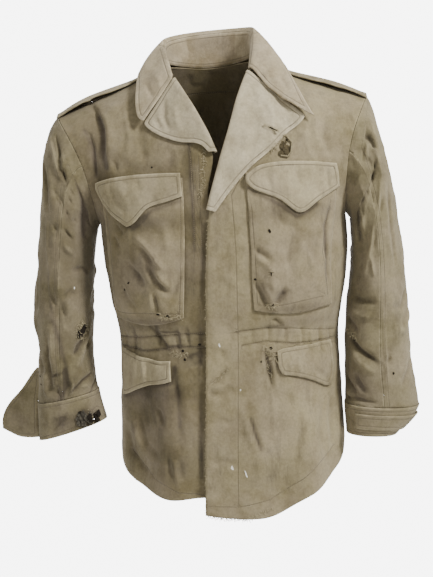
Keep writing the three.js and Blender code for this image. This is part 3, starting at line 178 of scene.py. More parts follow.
def points_of(piece):
    flat = np.empty(len(piece.data.vertices) * 3)
    piece.data.vertices.foreach_get("co", flat)
    return flat.reshape(-1, 3) * 1000


def put_points(piece, points):
    piece.data.vertices.foreach_set("co", (points / 1000).ravel())
    piece.data.update()


def keep(piece, name, values):
    """Stores one number for each point of the cloth, for the material to read."""
    if name in piece.data.attributes:
        piece.data.attributes.remove(piece.data.attributes[name])
    piece.data.attributes.new(name, "FLOAT", "POINT").data.foreach_set("value", np.asarray(values, float))


cells = 24
grain_table = np.random.RandomState(7).rand(cells, cells, cells)


def unevenness(points, size, shift=0):
    """Smooth chance variation from -1 to 1, with lumps of about this size in mm."""
    spot = points / size + shift * 3.7
    low = np.floor(spot).astype(int)
    part = spot - low
    part = part * part * (3 - 2 * part)
    total = 0
    for corner in ((0, 0, 0), (1, 0, 0), (0, 1, 0), (1, 1, 0), (0, 0, 1), (1, 0, 1), (0, 1, 1), (1, 1, 1)):
        weight = np.prod(np.where(corner, part, 1 - part), axis=1)
        index = (low + corner) % cells
        total = total + weight * grain_table[index[:, 0], index[:, 1], index[:, 2]]
    return 2 * total - 1


def to_line(places, line):
    """Signed distance to a line of points, how far along it that is, and the line's length, in mm."""
    line = np.asarray(line, float)
    best = np.full(len(places), 1e9)
    side = np.ones(len(places))
    run = np.zeros(len(places))
    start = 0.0
    for a, b in zip(line[:-1], line[1:]):
        step = b - a
        length = math.hypot(*step)
        offset = places - a
        t = np.clip(offset @ step / length ** 2, 0, 1)
        away = np.hypot(*(offset - t[:, None] * step).T)
        nearer = away < best
        best = np.where(nearer, away, best)
        cross = step[0] * offset[:, 1] - step[1] * offset[:, 0]
        side = np.where(nearer, np.sign(cross) + (cross == 0), side)
        run = np.where(nearer, start + t * length, run)
        start += length
    return best * side, run, start


def creased(places, creases):
    """The height of placed creases: soft troughs and ridges, laps with one sharp side, and sewn lines.

    Each crease is a row of its half width, its depth (below 0 is a trough), its kind and its line.
    """
    height = np.zeros(len(places))
    for width, depth, kind, line in creases:
        away, run, length = to_line(places, line)
        share = run / length
        ends = np.clip(np.minimum(share, 1 - share) * 4, 0, 1) ** 0.7
        if kind == "soft":
            height += depth * ends * np.exp(-(away / width) ** 2)
        elif kind == "lap":
            height += depth * ends / (1 + np.exp(-away)) * np.exp(-np.abs(away) / width)
        elif kind == "sewn":
            height += depth * np.exp(-(away / width) ** 2)
    return height


def body_way(straight):
    """The outward direction of the body at each point, from its plain section: a squared oval under the
    arms that narrows from front to back towards the shoulder line."""
    half_width, half_depth, armpit = 196, 120, -250
    neck_half_width, neck_rise, shoulder_fall = 70, 28, 0.4
    x, y, z = straight.T
    crest = np.where(
        np.abs(x) < neck_half_width, neck_rise * (1 - (x / neck_half_width) ** 2),
        -shoulder_fall * (np.abs(x) - neck_half_width)
    )
    rise = np.clip((z - armpit) / (crest - armpit), 0, 0.97)
    slope = 0.522 * (1 - rise ** 1.75) ** -0.429 * rise ** 0.75
    gx = np.sign(x) * (np.abs(x) / half_width) ** 1.3 / half_width
    depth_here = half_depth * (1 - rise ** 1.75) ** 0.571 + 6
    gy = np.sign(y) * (np.abs(y) / depth_here) ** 1.3 / half_depth
    gz = np.abs(gy) * slope
    way = np.stack([gx, gy, gz], 1)
    return way / np.linalg.norm(way, axis=1)[:, None]


FAR = 99.0  # stands for "nothing is near", in mm


def edge_distance(piece, sharp=50):
    """How far each point is from the cloth's own cut edges, in mm."""
    shape = bmesh.new()
    shape.from_mesh(piece.data)
    rim = [
        vertex.co.copy()
        for vertex in shape.verts if any(
            len(edge.link_faces) == 2 and edge.calc_face_angle(0) > math.radians(sharp)
            for edge in vertex.link_edges
        )
    ]
    shape.free()
    tree = KDTree(len(rim))
    for number, spot in enumerate(rim):
        tree.insert(spot, number)
    tree.balance()
    return np.array([min(tree.find(vertex.co)[2] * 1000, FAR) for vertex in piece.data.vertices])


def sewn(piece, places, lines):
    """Stores how far each point is from the nearest line of stitches and how far along that line."""
    best = np.full(len(places), FAR)
    along = np.zeros(len(places))
    for line in lines:
        away, run, _ = to_line(places, line)
        nearer = np.abs(away) < np.abs(best)
        best = np.where(nearer, away, best)
        along = np.where(nearer, run, along)
    keep(piece, "seam", best)
    keep(piece, "run", along)


def placed_patches(places, spots):
    """The strength of placed patches, which are stains, rubbed places, painted shade and painted light: each
    is (x, z, half width, half height, strength).
    """
    amount = np.zeros(len(places))
    for x, z, wide, high, strength in spots:
        far = ((places[:, 0] - x) / wide) ** 2 + ((places[:, 1] - z) / high) ** 2
        amount += strength * np.exp(-far)
    return amount


def lay_grain(piece, across, down):
    """Gives the cloth a UV map in metres, so that the weave follows it."""
    loops = np.empty(len(piece.data.loops), int)
    piece.data.loops.foreach_get("vertex_index", loops)
    uv = np.stack([across[loops], down[loops]], 1) / 1000
    layer = piece.data.uv_layers.get("grain") or piece.data.uv_layers.new(name="grain")
    layer.data.foreach_set("uv", uv.ravel())


def show_soft(piece, angle=55):
    piece.data.polygons.foreach_set("use_smooth", np.ones(len(piece.data.polygons), bool))
    piece.data.set_sharp_from_angle(angle=math.radians(angle))


def colour(r, g, b):
    """A colour named by the 0 to 255 values of a screen, as the linear values that a material takes."""
    part = [c / 255 for c in (r, g, b)]
    return tuple(c / 12.92 if c <= 0.04045 else ((c + 0.055) / 1.055) ** 2.4 for c in part) + (1,)


def new_group(name, inputs, outputs):
    group = bpy.data.node_groups.new(name, "ShaderNodeTree")
    for label, kind, value in inputs:
        socket = group.interface.new_socket(name=label, in_out="INPUT", socket_type=kind)
        if value is not None:
            socket.default_value = value
    for label, kind in outputs:
        group.interface.new_socket(name=label, in_out="OUTPUT", socket_type=kind)
    return group, group.nodes.new("NodeGroupInput"), group.nodes.new("NodeGroupOutput")


class Wiring:
    """Short ways to place nodes and join them in one tree."""

    def __init__(self, tree):
        self.tree = tree

    def put(self, socket, value):
        if isinstance(value, bpy.types.NodeSocket):
            self.tree.links.new(value, socket)
        else:
            socket.default_value = value

    def math(self, operation, a, b=0.0, clamp=False):
        node = self.tree.nodes.new("ShaderNodeMath")
        node.operation = operation
        node.use_clamp = clamp
        for socket, value in zip(node.inputs, (a, b)):
            self.put(socket, value)
        return node.outputs[0]

    def noise(self, place, scale, detail=2.0, rough=0.5):
        node = self.tree.nodes.new("ShaderNodeTexNoise")
        self.put(node.inputs["Vector"], place)
        node.inputs["Scale"].default_value = scale
        node.inputs["Detail"].default_value = detail
        node.inputs["Roughness"].default_value = rough
        return node.outputs["Fac"]

    def band(self, value, low, high, to_low=0.0, to_high=1.0):
        node = self.tree.nodes.new("ShaderNodeMapRange")
        node.interpolation_type = "SMOOTHSTEP"
        for socket, number in zip(node.inputs, (value, low, high, to_low, to_high)):
            self.put(socket, number)
        return node.outputs[0]

    def blend(self, share, a, b, how="MIX"):
        node = self.tree.nodes.new("ShaderNodeMix")
        node.data_type = "RGBA"
        node.blend_type = how
        self.put(node.inputs["Factor"], share)
        self.put(node.inputs["A"], a)
        self.put(node.inputs["B"], b)
        return node.outputs["Result"]

    def stored(self, name):
        node = self.tree.nodes.new("ShaderNodeAttribute")
        node.attribute_name = name
        return node.outputs["Fac"]


# The weave of the cloth: a steep twill of twisted yarns, with a few thick ones
weave, weave_in, weave_out = new_group(
    "cotton weave", [("Yarn", "NodeSocketFloat", 0.0009)],
    [("Height", "NodeSocketFloat"), ("Slubs", "NodeSocketFloat")])
wire = Wiring(weave)
grain_map = weave.nodes.new("ShaderNodeUVMap")
grain_map.uv_map = "grain"
split = weave.nodes.new("ShaderNodeSeparateXYZ")
weave.links.new(grain_map.outputs[0], split.inputs[0])
per_yarn = wire.math("DIVIDE", 2 * math.pi, weave_in.outputs["Yarn"])
diagonal = wire.math("ADD", split.outputs[0], wire.math("MULTIPLY", split.outputs[1], 0.42))
ribs = wire.math("SINE", wire.math("MULTIPLY", diagonal, per_yarn))
picks = wire.math("SINE", wire.math("MULTIPLY", split.outputs[1], wire.math("MULTIPLY", per_yarn, 1.9)))
yarn_relief = wire.math("ADD", wire.math("MULTIPLY", ribs, 0.6), wire.math("MULTIPLY", picks, 0.4))
stretch = weave.nodes.new("ShaderNodeMapping")
stretch.inputs["Scale"].default_value = (2600, 140, 1)
weave.links.new(grain_map.outputs[0], stretch.inputs["Vector"])
slubs = wire.noise(stretch.outputs[0], 1.0, 1.0)
weave.links.new(yarn_relief, weave_out.inputs["Height"])
weave.links.new(slubs, weave_out.inputs["Slubs"])

# Ageing and painted light: mottled fading, soil, painted shade in the crease hollows, ridges rubbed pale with
# a painted highlight, rubbed edges, and the lines of stitches
ageing_and_shade, age_in, age_out = new_group(
    "aged and shaded cotton",
    [("Colour", "NodeSocketColor", (0.3, 0.27, 0.19, 1)), ("Faded", "NodeSocketColor", (0.5, 0.45, 0.36, 1)),
     ("Soil and shade", "NodeSocketColor", (0.08, 0.065, 0.045, 1)), ("Mottle", "NodeSocketFloat", 0.5),
     ("Edge wear", "NodeSocketFloat", 0.5), ("Thread", "NodeSocketColor", (0.34, 0.30, 0.21, 1))],
    [("Color", "NodeSocketColor"), ("Height", "NodeSocketFloat"), ("Roughness", "NodeSocketFloat")])
wire = Wiring(ageing_and_shade)
where = ageing_and_shade.nodes.new("ShaderNodeTexCoord").outputs["Object"]
broad = wire.noise(where, 7.0, 3.0, 0.6)
medium = wire.noise(where, 38.0, 4.0, 0.65)
fine = wire.noise(where, 240.0, 3.0, 0.7)
yarns = ageing_and_shade.nodes.new("ShaderNodeGroup")
yarns.node_tree = weave
away = wire.math("ABSOLUTE", wire.stored("seam"))
edge = wire.stored("edge")
fold = wire.stored("fold")
fade_and_light = wire.math("ADD", wire.stored("fade_and_light"), wire.math("SUBTRACT", broad, 0.5))
fade_and_light = wire.math(
    "ADD", fade_and_light, wire.math("MULTIPLY", wire.math("SUBTRACT", medium, 0.5), age_in.outputs["Mottle"])
)
# Raised places are made paler: rubbed wear along the ridges, and also a painted highlight on them.
ridge_wear_and_highlight = wire.band(fold, 0.8, 6.0, 0.0, 0.35)
seam_wear = wire.math("MULTIPLY", wire.band(away, 0.9, 2.6, 1.0, 0.0), wire.band(medium, 0.45, 0.7, 0.0, 0.4))
edge_wear = wire.math(
    "MULTIPLY", wire.band(edge, 0.4, 2.8, 1.0, 0.0),
    wire.math("MULTIPLY", wire.band(medium, 0.38, 0.66, 0.1, 0.8), age_in.outputs["Edge wear"])
)
light_share = wire.math(
    "ADD", fade_and_light, wire.math("ADD", ridge_wear_and_highlight, wire.math("ADD", seam_wear, edge_wear)), clamp=True
)
plain = wire.blend(light_share, age_in.outputs["Colour"], age_in.outputs["Faded"])
# Painted shade: the deeper a crease's trough, the more its colour is darkened towards the soil colour.
crease_shade = wire.band(fold, -0.8, -7.0, 0.0, 0.45)
groove = wire.math("MULTIPLY", wire.band(away, 0.2, 1.5, 1.0, 0.0), wire.band(medium, 0.35, 0.62, 0.2, 0.66))
soil_and_shade = wire.math("ADD", wire.stored("soil_and_shade"), wire.math("MULTIPLY", wire.band(medium, 0.52, 0.78), 0.34))
upright = ageing_and_shade.nodes.new("ShaderNodeMapping")
upright.inputs["Scale"].default_value = (1, 1, 0.22)
ageing_and_shade.links.new(where, upright.inputs["Vector"])
streaks = wire.noise(upright.outputs[0], 62.0, 4.0, 0.62)
soil_and_shade = wire.math("ADD", soil_and_shade, wire.band(streaks, 0.5, 0.74, 0.0, 0.3))
soil_and_shade = wire.math("MULTIPLY", soil_and_shade, wire.band(broad, 0.25, 0.65, 0.7, 1.3))
shade_and_soil_share = wire.math("ADD", wire.math("ADD", crease_shade, groove), soil_and_shade, clamp=True)
shaded_and_dirty = wire.blend(wire.math("MULTIPLY", shade_and_soil_share, 0.85), plain, age_in.outputs["Soil and shade"])
tint = wire.band(wire.noise(where, 15.0, 3.0, 0.6), 0.35, 0.7)
warm = wire.blend(wire.math("MULTIPLY", tint, 0.22), shaded_and_dirty, (0.36, 0.29, 0.22, 1))
grey = wire.band(
    wire.math("ADD", wire.math("MULTIPLY", fine, 0.7), wire.math("MULTIPLY", yarns.outputs["Slubs"], 0.3)),
    0.3, 0.72, 0.86, 1.12
)
grain = wire.blend(1.0, warm, grey, "MULTIPLY")
dash = wire.math("LESS_THAN", wire.math("FRACT", wire.math("DIVIDE", wire.stored("run"), 3.1)), 0.72)
stitch = wire.math("MULTIPLY", wire.math("LESS_THAN", away, 0.32), dash)
stitched = wire.blend(wire.math("MULTIPLY", stitch, 0.75), grain, age_in.outputs["Thread"])
ageing_and_shade.links.new(stitched, age_out.inputs["Color"])
relief = wire.math("MULTIPLY", yarns.outputs["Height"], 0.10)
relief = wire.math("ADD", relief, wire.math("MULTIPLY", fine, 0.55))
relief = wire.math("ADD", relief, wire.math("MULTIPLY", medium, 1.6))
relief = wire.math("ADD", relief, wire.math("MULTIPLY", stitch, 0.35))
relief = wire.math("SUBTRACT", relief, wire.band(away, 0.2, 1.6, 0.8, 0.0))
ageing_and_shade.links.new(relief, age_out.inputs["Height"])
ageing_and_shade.links.new(wire.band(medium, 0.3, 0.7, 0.98, 0.86), age_out.inputs["Roughness"])


def cotton(name, base, faded, soil_and_shade=(46, 38, 28), mottle=1.4, edge_wear=0.5, thread=(128, 116, 90)):
    """The same washed sateen in one shade, with its own amount of wear."""
    finish = bpy.data.materials.new(name)
    finish.use_nodes = True
    nodes, links = finish.node_tree.nodes, finish.node_tree.links
    shader = nodes["Principled BSDF"]
    aged = nodes.new("ShaderNodeGroup")
    aged.node_tree = ageing_and_shade
    aged.inputs["Colour"].default_value = colour(*base)
    aged.inputs["Faded"].default_value = colour(*faded)
    aged.inputs["Soil and shade"].default_value = colour(*soil_and_shade)
    aged.inputs["Mottle"].default_value = mottle
    aged.inputs["Edge wear"].default_value = edge_wear
    aged.inputs["Thread"].default_value = colour(*thread)
    bump = nodes.new("ShaderNodeBump")
    bump.inputs["Strength"].default_value = 0.7
    bump.inputs["Distance"].default_value = 0.0009
    links.new(aged.outputs["Height"], bump.inputs["Height"])
    links.new(aged.outputs["Color"], shader.inputs["Base Color"])
    links.new(aged.outputs["Roughness"], shader.inputs["Roughness"])
    links.new(bump.outputs["Normal"], shader.inputs["Normal"])
    shader.inputs["Specular IOR Level"].default_value = 0.18
    shader.inputs["Sheen Weight"].default_value = 0.25
    shader.inputs["Sheen Roughness"].default_value = 0.6
    shader.inputs["Sheen Tint"].default_value = colour(225, 215, 195)
    return finish


resting = {}


def lies_on(points, nodes, reach=30):
    """For each point: how far the cloth beneath it was moved out, and the free space between them, in mm."""
    moved = np.zeros(len(points))
    clear = np.full(len(points), FAR)
    for node in nodes:
        tree, face_heights = resting[node]
        for i, point in enumerate(points / 1000):
            _, _, face, away = tree.find_nearest(Vector(point), reach / 1000)
            if face is not None and away * 1000 < clear[i]:
                clear[i] = away * 1000
                moved[i] = face_heights[face]
    return moved, clear


def rumpled(points, size, shift):
    """Narrow chance ridges in loose patches, from 0 to 1."""
    ridges = (1 - np.abs(unevenness(points, size, shift))) ** 5
    return ridges * eased(0.5 + 1.2 * unevenness(points, size * 2.7, shift + 5))


def lined(places, lines):
    """The strength of placed dark or pale lines, the dark ones mostly painted shade along creases, laps and
    edges: each is (half width, strength, line).
    """
    amount = np.zeros(len(places))
    for wide, strength, line in lines:
        amount += strength * np.exp(-(to_line(places, line)[0] / wide) ** 2)
    return amount


def dress(piece, node, finish, straight, places, way, creases=(), stitches=(), spots=(), lines=(),
          pale=(), pale_lines=(), on=(), seed=1, lumps=1.0, rumple=1.6, pull=(1, 1, 0.55), fade_and_light=0.2, soil_and_shade=0.0,
          inside=0.35, calm=9.0, rim=0.0, hem=None, depth=1.3, round_way=False, part_walls=False):
    """Moves the cloth out and in by its creases, rests it on what lies beneath, and stores what its
    material reads. The inner face follows the outer one."""
    wall, seam_allowance, touching = 1.1, 6, 18
    points = points_of(piece)
    edge_far = edge_distance(piece)
    ground = straight * (1, 0, 1) + np.maximum(straight[:, [1]], 0) * (0, 1, 0)
    if round_way:
        ground = straight
    height = depth * creased(places, creases)
    small = 1.1 * unevenness(ground, 27, seed) + 0.45 * unevenness(ground, 12, seed + 1)
    small += rumple * (
        rumpled(ground * pull, 34, seed + 2) + 0.45 * rumpled(ground * pull, 17, seed + 3) - 0.25
    )
    damp = eased((edge_far - 1.5) / calm)
    if hem is not None:
        damp = np.maximum(damp, eased((hem - straight[:, 2]) / 25))
    height = (height + lumps * small) * damp + rim * np.exp(-((edge_far - 2.2) / 1.6) ** 2)
    if on:
        moved, clear = lies_on(points, on)
        height = height + moved * (1 - eased((clear - touching) / 10))
        floor_height = moved + 0.4 - 0.8 * np.maximum(clear - 0.8, 0)
        height = np.where(clear < touching + 11, np.maximum(height, floor_height), height)
    faces = [tuple(face.vertices) for face in piece.data.polygons]
    tree = BVHTree.FromPolygons([tuple(point) for point in points / 1000], faces)
    corner_heights = height[np.array([(face + face)[:4] for face in faces])]
    resting[node] = (tree, corner_heights.mean(axis=1))
    normals = np.empty(len(points) * 3)
    piece.data.vertices.foreach_get("normal", normals)
    inner = np.sum(normals.reshape(-1, 3) * way, axis=1) < -0.25
    outer_faces = [face for face in faces if not inner[list(face)].any()]
    outer_tree = BVHTree.FromPolygons([tuple(point) for point in points], outer_faces)
    for at in np.flatnonzero(inner):
        spot, facing, face, _ = outer_tree.find_nearest(points[at], 8)
        if face is not None:
            if part_walls and (Vector(points[at]) - spot).dot(facing) > -wall:
                points[at] = spot - facing * wall
            corners = list(outer_faces[face])
            share = np.array(poly_3d_calc([Vector(points[corner]) for corner in corners], spot))
            height[at], way[at] = share @ height[corners], share @ way[corners]
    put_points(piece, points + way * height[:, None])
    keep(piece, "fold", height)
    keep(piece, "edge", edge_far)
    # The dark share holds soil and painted shade: placed stains, painted shade in patches and lines below
    # flaps and along creases and laps, and the inner faces, darkened by inside as painted shade; the inner
    # faces are also made less faded.
    keep(piece, "soil_and_shade", soil_and_shade + placed_patches(places, spots) + lined(places, lines) + inside * inner)
    keep(piece, "fade_and_light", fade_and_light + placed_patches(places, pale) + lined(places, pale_lines) - 0.25 * inner)
    if stitches == "edge":
        keep(piece, "seam", edge_far - seam_allowance)
        keep(piece, "run", places[:, 0] + places[:, 1])
    else:
        sewn(piece, places, stitches)
    lay_grain(piece, places[:, 0] * 1.15, places[:, 1])
    show_soft(piece)
    piece.data.materials.clear()
    piece.data.materials.append(finish)
    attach(piece, "root")
    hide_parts(node)
    surfaces[node] = (points + way * height[:, None], places, way, ~inner)


surfaces = {}


def spot_on(node, place):
    """The outer point of a piece's cloth at a place, the way out of it, and its level and downward ways."""
    points, places, way, outer = surfaces[node]
    far = np.hypot(*(places - place).T) + 1000 * ~outer
    at = int(np.argmin(far))
    out = Vector(way[at])
    level = Vector((0, 0, -1)).cross(out).normalized()
    if out.y > 0.2:
        level = -level
    down = level.cross(out).normalized()
    if down.z > 0:
        down = -down
    return Vector(points[at]) / 1000, out, level, down


def small_piece(mesh, name, finish):
    item = bpy.data.objects.new(name, mesh)
    bpy.context.scene.collection.objects.link(item)
    mesh.name = name
    mesh.materials.clear()
    mesh.materials.append(finish)
    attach(item, "root")
    return item


def strands(name, paths, radius, finish):
    """Loose or sewn threads, each a round strand along its path, joined into one mesh."""
    curve = bpy.data.curves.new(name, "CURVE")
    curve.dimensions = "3D"
    curve.bevel_depth = radius
    curve.bevel_resolution = 0
    for path in paths:
        spline = curve.splines.new("POLY")
        spline.points.add(len(path) - 1)
        for point, place in zip(spline.points, path):
            point.co = (*place, 1)
    holder = bpy.data.objects.new(name + " curve", curve)
    bpy.context.scene.collection.objects.link(holder)
    mesh = bpy.data.meshes.new_from_object(holder.evaluated_get(bpy.context.evaluated_depsgraph_get()))
    bpy.data.objects.remove(holder)
    bpy.data.curves.remove(curve)
    return small_piece(mesh, name, finish)


def fray(node, line, count, length, chance, fall=0.5, lift=0.35):
    """Paths of loose threads that start along a line on the cloth and hang or curl away from it."""
    line = np.asarray(line, float)
    paths = []
    for _ in range(count):
        part = chance.rand() * (len(line) - 1)
        low = min(int(part), len(line) - 2)
        place = line[low] + (part - low) * (line[low + 1] - line[low]) + chance.randn(2) * 0.8
        start, out, level, down = spot_on(node, place)
        heading = (level * chance.randn() + down * (fall + 0.6 * chance.randn()) + out * lift).normalized()
        bend = (level * chance.randn() + out * 0.4 * chance.randn()) * 0.5
        reach = length * (0.4 + 0.9 * chance.rand()) / 1000
        path, point = [start + out * 0.0002], start + out * 0.0002
        for step in range(5):
            heading = (heading + bend * 0.5 + Vector((0, 0, -0.12))).normalized()
            point = point + heading * reach / 5
            path.append(point)
        paths.append(path)
    return paths


def frays(name, radius, rows):
    """Loose threads from several lines: each row is (node, line, count, length, fall, lift)."""
    paths = []
    for node, line, count, length, fall, lift in rows:
        paths += fray(node, line, count, length, chance, fall, lift)
    strands(name, paths, radius, thread_finish)


def marks(name, node, spots, finish, lift=0.35):
    """Small flat ragged spots on the cloth: each is (x, z, half width, half height, turn in degrees)."""
    shape = bmesh.new()
    chance = np.random.RandomState(len(name))
    for x, z, wide, high, turn in spots:
        at, out, level, down = spot_on(node, (x, z))
        c, s = math.cos(math.radians(turn)), math.sin(math.radians(turn))
        first, second = level * c - down * s, level * s + down * c
        at = at + out * lift / 1000
        columns = (first * wide / 1000, second * high / 1000, out / 1000, at)
        spot_frame = Matrix([*zip(*columns), (0, 0, 0, 1)])
        ring = bmesh.ops.create_circle(
            shape, cap_ends=True, segments=18, radius=1, matrix=spot_frame
        )["verts"]
        for vertex in ring:
            vertex.co = at + (vertex.co - at) * (0.75 + 0.4 * chance.rand())
    bmesh.ops.recalc_face_normals(shape, faces=shape.faces)
    mesh = bpy.data.meshes.new(name)
    shape.to_mesh(mesh)
    shape.free()
    return small_piece(mesh, name, finish)


def plain_finish(name, shade, rough, mottle=0.25):
    """A plain finish whose shade varies a little over short distances."""
    finish = bpy.data.materials.new(name)
    finish.use_nodes = True
    shader = finish.node_tree.nodes["Principled BSDF"]
    own = Wiring(finish.node_tree)
    spot = finish.node_tree.nodes.new("ShaderNodeTexCoord").outputs["Object"]
    darker = tuple(c * (1 - mottle) for c in colour(*shade)[:3]) + (1,)
    varied = own.blend(own.band(own.noise(spot, 300.0), 0.3, 0.7), colour(*shade), darker)
    finish.node_tree.links.new(varied, shader.inputs["Base Color"])
    shader.inputs["Roughness"].default_value = rough
    shader.inputs["Specular IOR Level"].default_value = 0.2
    return finish


front_cloth = cotton("front cotton", (110, 99, 69), (164, 152, 118))
thread_finish = plain_finish("loose thread", (172, 160, 128), 0.9)
# Dark discs stand for holes, slits and eyelets: their darkness is painted shade of the inside seen through
# them.
hole_shade_finish = plain_finish("hole shade", (34, 29, 22), 1.0)
paint_finish = plain_finish("dried paint", (226, 222, 208), 0.6, 0.06)

front_creases = {
    "right": [
        (5, -4.5, "soft", [(-194, -52), (-179, -69), (-169, -96), (-169, -118), (-172, -136), (-168, -160)]),
        (6, 2.5, "soft", [(-182, -58), (-160, -84), (-157, -112), (-160, -135)]),
        (4, -3, "soft", [(-205, -92), (-192, -104), (-187, -124), (-187, -149), (-187, -175)]),
        (5, 2.4, "lap", [(-40, -290), (-36, -214), (-34, -124)]),
        (4, -2.2, "soft", [(-155, -146), (-150, -165)]),
        (5, 1.8, "soft", [(-130, -70), (-126, -112), (-133, -150)]),
        (6, -2, "soft", [(-112, -78), (-108, -120), (-104, -158)]),
        (5, -2, "soft", [(-60, -136), (-70, -162)]),
        (1.6, -1.4, "sewn", [(-24, -418), (-70, -418), (-120, -423), (-172, -428)]),
        (1.6, -1.4, "sewn", [(-24, -440), (-70, -439), (-124, -446), (-176, -441)]),
        (4, -2.6, "soft", [(-118, -405), (-105, -422), (-86, -446)]),
        (3, -2.0, "soft", [(-109, -398), (-103, -438)]), (3, -2.2, "soft", [(-78, -412), (-74, -450)]),
        (3.4, 2.0, "soft", [(-92, -410), (-88, -452)]), (3, -2.2, "soft", [(-62, -408), (-58, -440)]),
        (3, 1.8, "soft", [(-128, -412), (-131, -452)]), (3.4, -2.6, "soft", [(-142, -410), (-146, -456)]),
        (3, -2.0, "soft", [(-160, -414), (-162, -450)]),
        (4, -2.6, "soft", [(-57, -468), (-46, -464), (-36, -458)]),
        (6, -2.8, "soft", [(-84, -468), (-79, -512), (-76, -575), (-74, -604)]),
        (7, 1.8, "soft", [(-66, -470), (-61, -560)]),
        (4, -3.4, "soft", [(-112, -533), (-105, -546), (-104, -562)]),
        (6, -3.2, "soft", [(-166, -560), (-159, -606), (-142, -630), (-118, -642)]),
        (6, 2.4, "soft", [(-152, -556), (-140, -604), (-122, -622)]),
        (5, -2.6, "soft", [(-146, -540), (-134, -590), (-110, -612)]),
        (4, -2.4, "soft", [(-98, -604), (-94, -640)]), (4, -2.6, "soft", [(-80, -606), (-76, -646)]),
        (5, -2.6, "soft", [(-64, -668), (-48, -664), (-34, -652)]),
        (4, 1.8, "soft", [(-88, -612), (-84, -648)]),
    ],
    "left": [
        (1.6, -1.4, "sewn", [(14, -417), (56, -413), (104, -417), (168, -428)]),
        (1.6, -1.4, "sewn", [(24, -438), (60, -434), (104, -441), (168, -441)]),
        (1.4, -1.2, "sewn", [(104, -449), (168, -449)]),
        (5, 4.0, "lap", [(62, -402), (77, -397), (92, -414)]),
        (4, -3, "soft", [(68, -402), (78, -400), (88, -411)]), (3, -2.4, "soft", [(66, -409), (65, -437)]),
        (3, -2.2, "soft", [(91, -411), (90, -439)]), (3, -2.4, "soft", [(40, -415), (41, -438)]),
        (3.4, 2.0, "soft", [(53, -412), (52, -440)]), (3, -2.4, "soft", [(116, -416), (118, -446)]),
        (3, 1.8, "soft", [(130, -418), (131, -452)]), (3.4, -2.6, "soft", [(144, -418), (147, -458)]),
        (3, -2.0, "soft", [(161, -420), (163, -452)]),
        (3.2, -4.0, "soft", [(60, -446), (62, -469), (66, -486), (67, -509)]),
        (3, 2.2, "soft", [(70, -452), (70, -484), (74, -510)]),
        (3.4, 2.0, "soft", [(54, -446), (56, -480)]), (4, 1.8, "soft", [(68, -512), (69, -584)]),
        (3.4, -3.8, "soft", [(32, -545), (38, -572), (48, -602)]),
        (5, 2.4, "soft", [(24, -538), (30, -570), (38, -600)]),
        (4, -2.6, "soft", [(-31, -496), (-14, -488), (0, -472)]),
        (5, -3.2, "soft", [(-30, -512), (-12, -512), (8, -502)]),
        (3, -2.2, "soft", [(-6, -443), (-3, -464)]),
        (5, 2.0, "soft", [(-28, -502), (-10, -500), (6, -490)]),
        (5, -2.0, "soft", [(-34, -560), (-8, -552), (8, -560)]),
        (5, -2.2, "soft", [(-34, -620), (-14, -612), (14, -620)]),
        (7, -2.6, "soft", [(164, -520), (157, -552), (158, -616)]),
        (6, -2.2, "soft", [(148, -530), (140, -580), (146, -622)]),
        (6, 2.2, "soft", [(154, -524), (149, -570), (152, -620)]),
        (6, -2.2, "soft", [(120, -560), (104, -600), (100, -630)]),
        (6, -2.4, "soft", [(180, -105), (172, -128), (178, -160)]),
        (6, 2.0, "soft", [(164, -88), (158, -118), (162, -150)]),
        (6, -2.0, "soft", [(120, -84), (126, -122), (122, -156)]),
        (4, -2.4, "soft", [(122, -124), (108, -136), (100, -150)]),
    ],
}
front_stitches = {
    "left": [
        [(44, -173), (22, -209), (21, -306), (18, -444), (13, -566), (9, -684)], [(49, -173), (47, -230)],
        [(14, -417), (56, -413), (104, -417), (168, -428)],
        [(24, -438), (60, -434), (104, -441), (168, -441)], [(104, -449), (168, -449)],
        [(-30, -237), (-36, -397), (-40, -519), (-46, -680)],
        [(-38, -682), (9, -684), (58, -676), (112, -648), (160, -610)],
    ],
    "right": [
        [(-34, -150), (-36, -224), (-42, -300)], [(-22, -150), (-27, -224), (-30, -300)],
        [(-24, -418), (-70, -418), (-120, -423), (-172, -428)],
        [(-24, -440), (-70, -439), (-124, -446), (-176, -441)],
        [(-30, -668), (-84, -662), (-120, -644), (-158, -606)],
    ],
}
# Dark patches: stains, and painted shade below the pockets and flaps, at the armhole and along the edge where
# the left front laps over.
front_stains_and_shade = {
    "left": [
        (118, -250, 66, 14, 0.35), (60, -640, 60, 40, 0.2), (66, -476, 9, 20, 0.3),
        (34, -560, 26, 34, 0.26), (40, -500, 30, 30, 0.12), (-20, -600, 20, 60, 0.14),
        (118, -408, 60, 10, 0.4), (112, -470, 50, 12, 0.2)
    ],
    "right": [
        (-116, -240, 70, 16, 0.35), (-112, -560, 60, 60, 0.34), (-140, -520, 40, 30, 0.3),
        (-92, -622, 40, 30, 0.3), (-120, -408, 60, 8, 0.35), (-50, -330, 12, 90, 0.32),
        (-58, -452, 40, 16, 0.18), (-104, -512, 54, 12, 0.4), (-178, -180, 14, 60, 0.4),
        (-70, -490, 40, 60, 0.14), (-34, -170, 10, 34, 0.45)
    ],
}
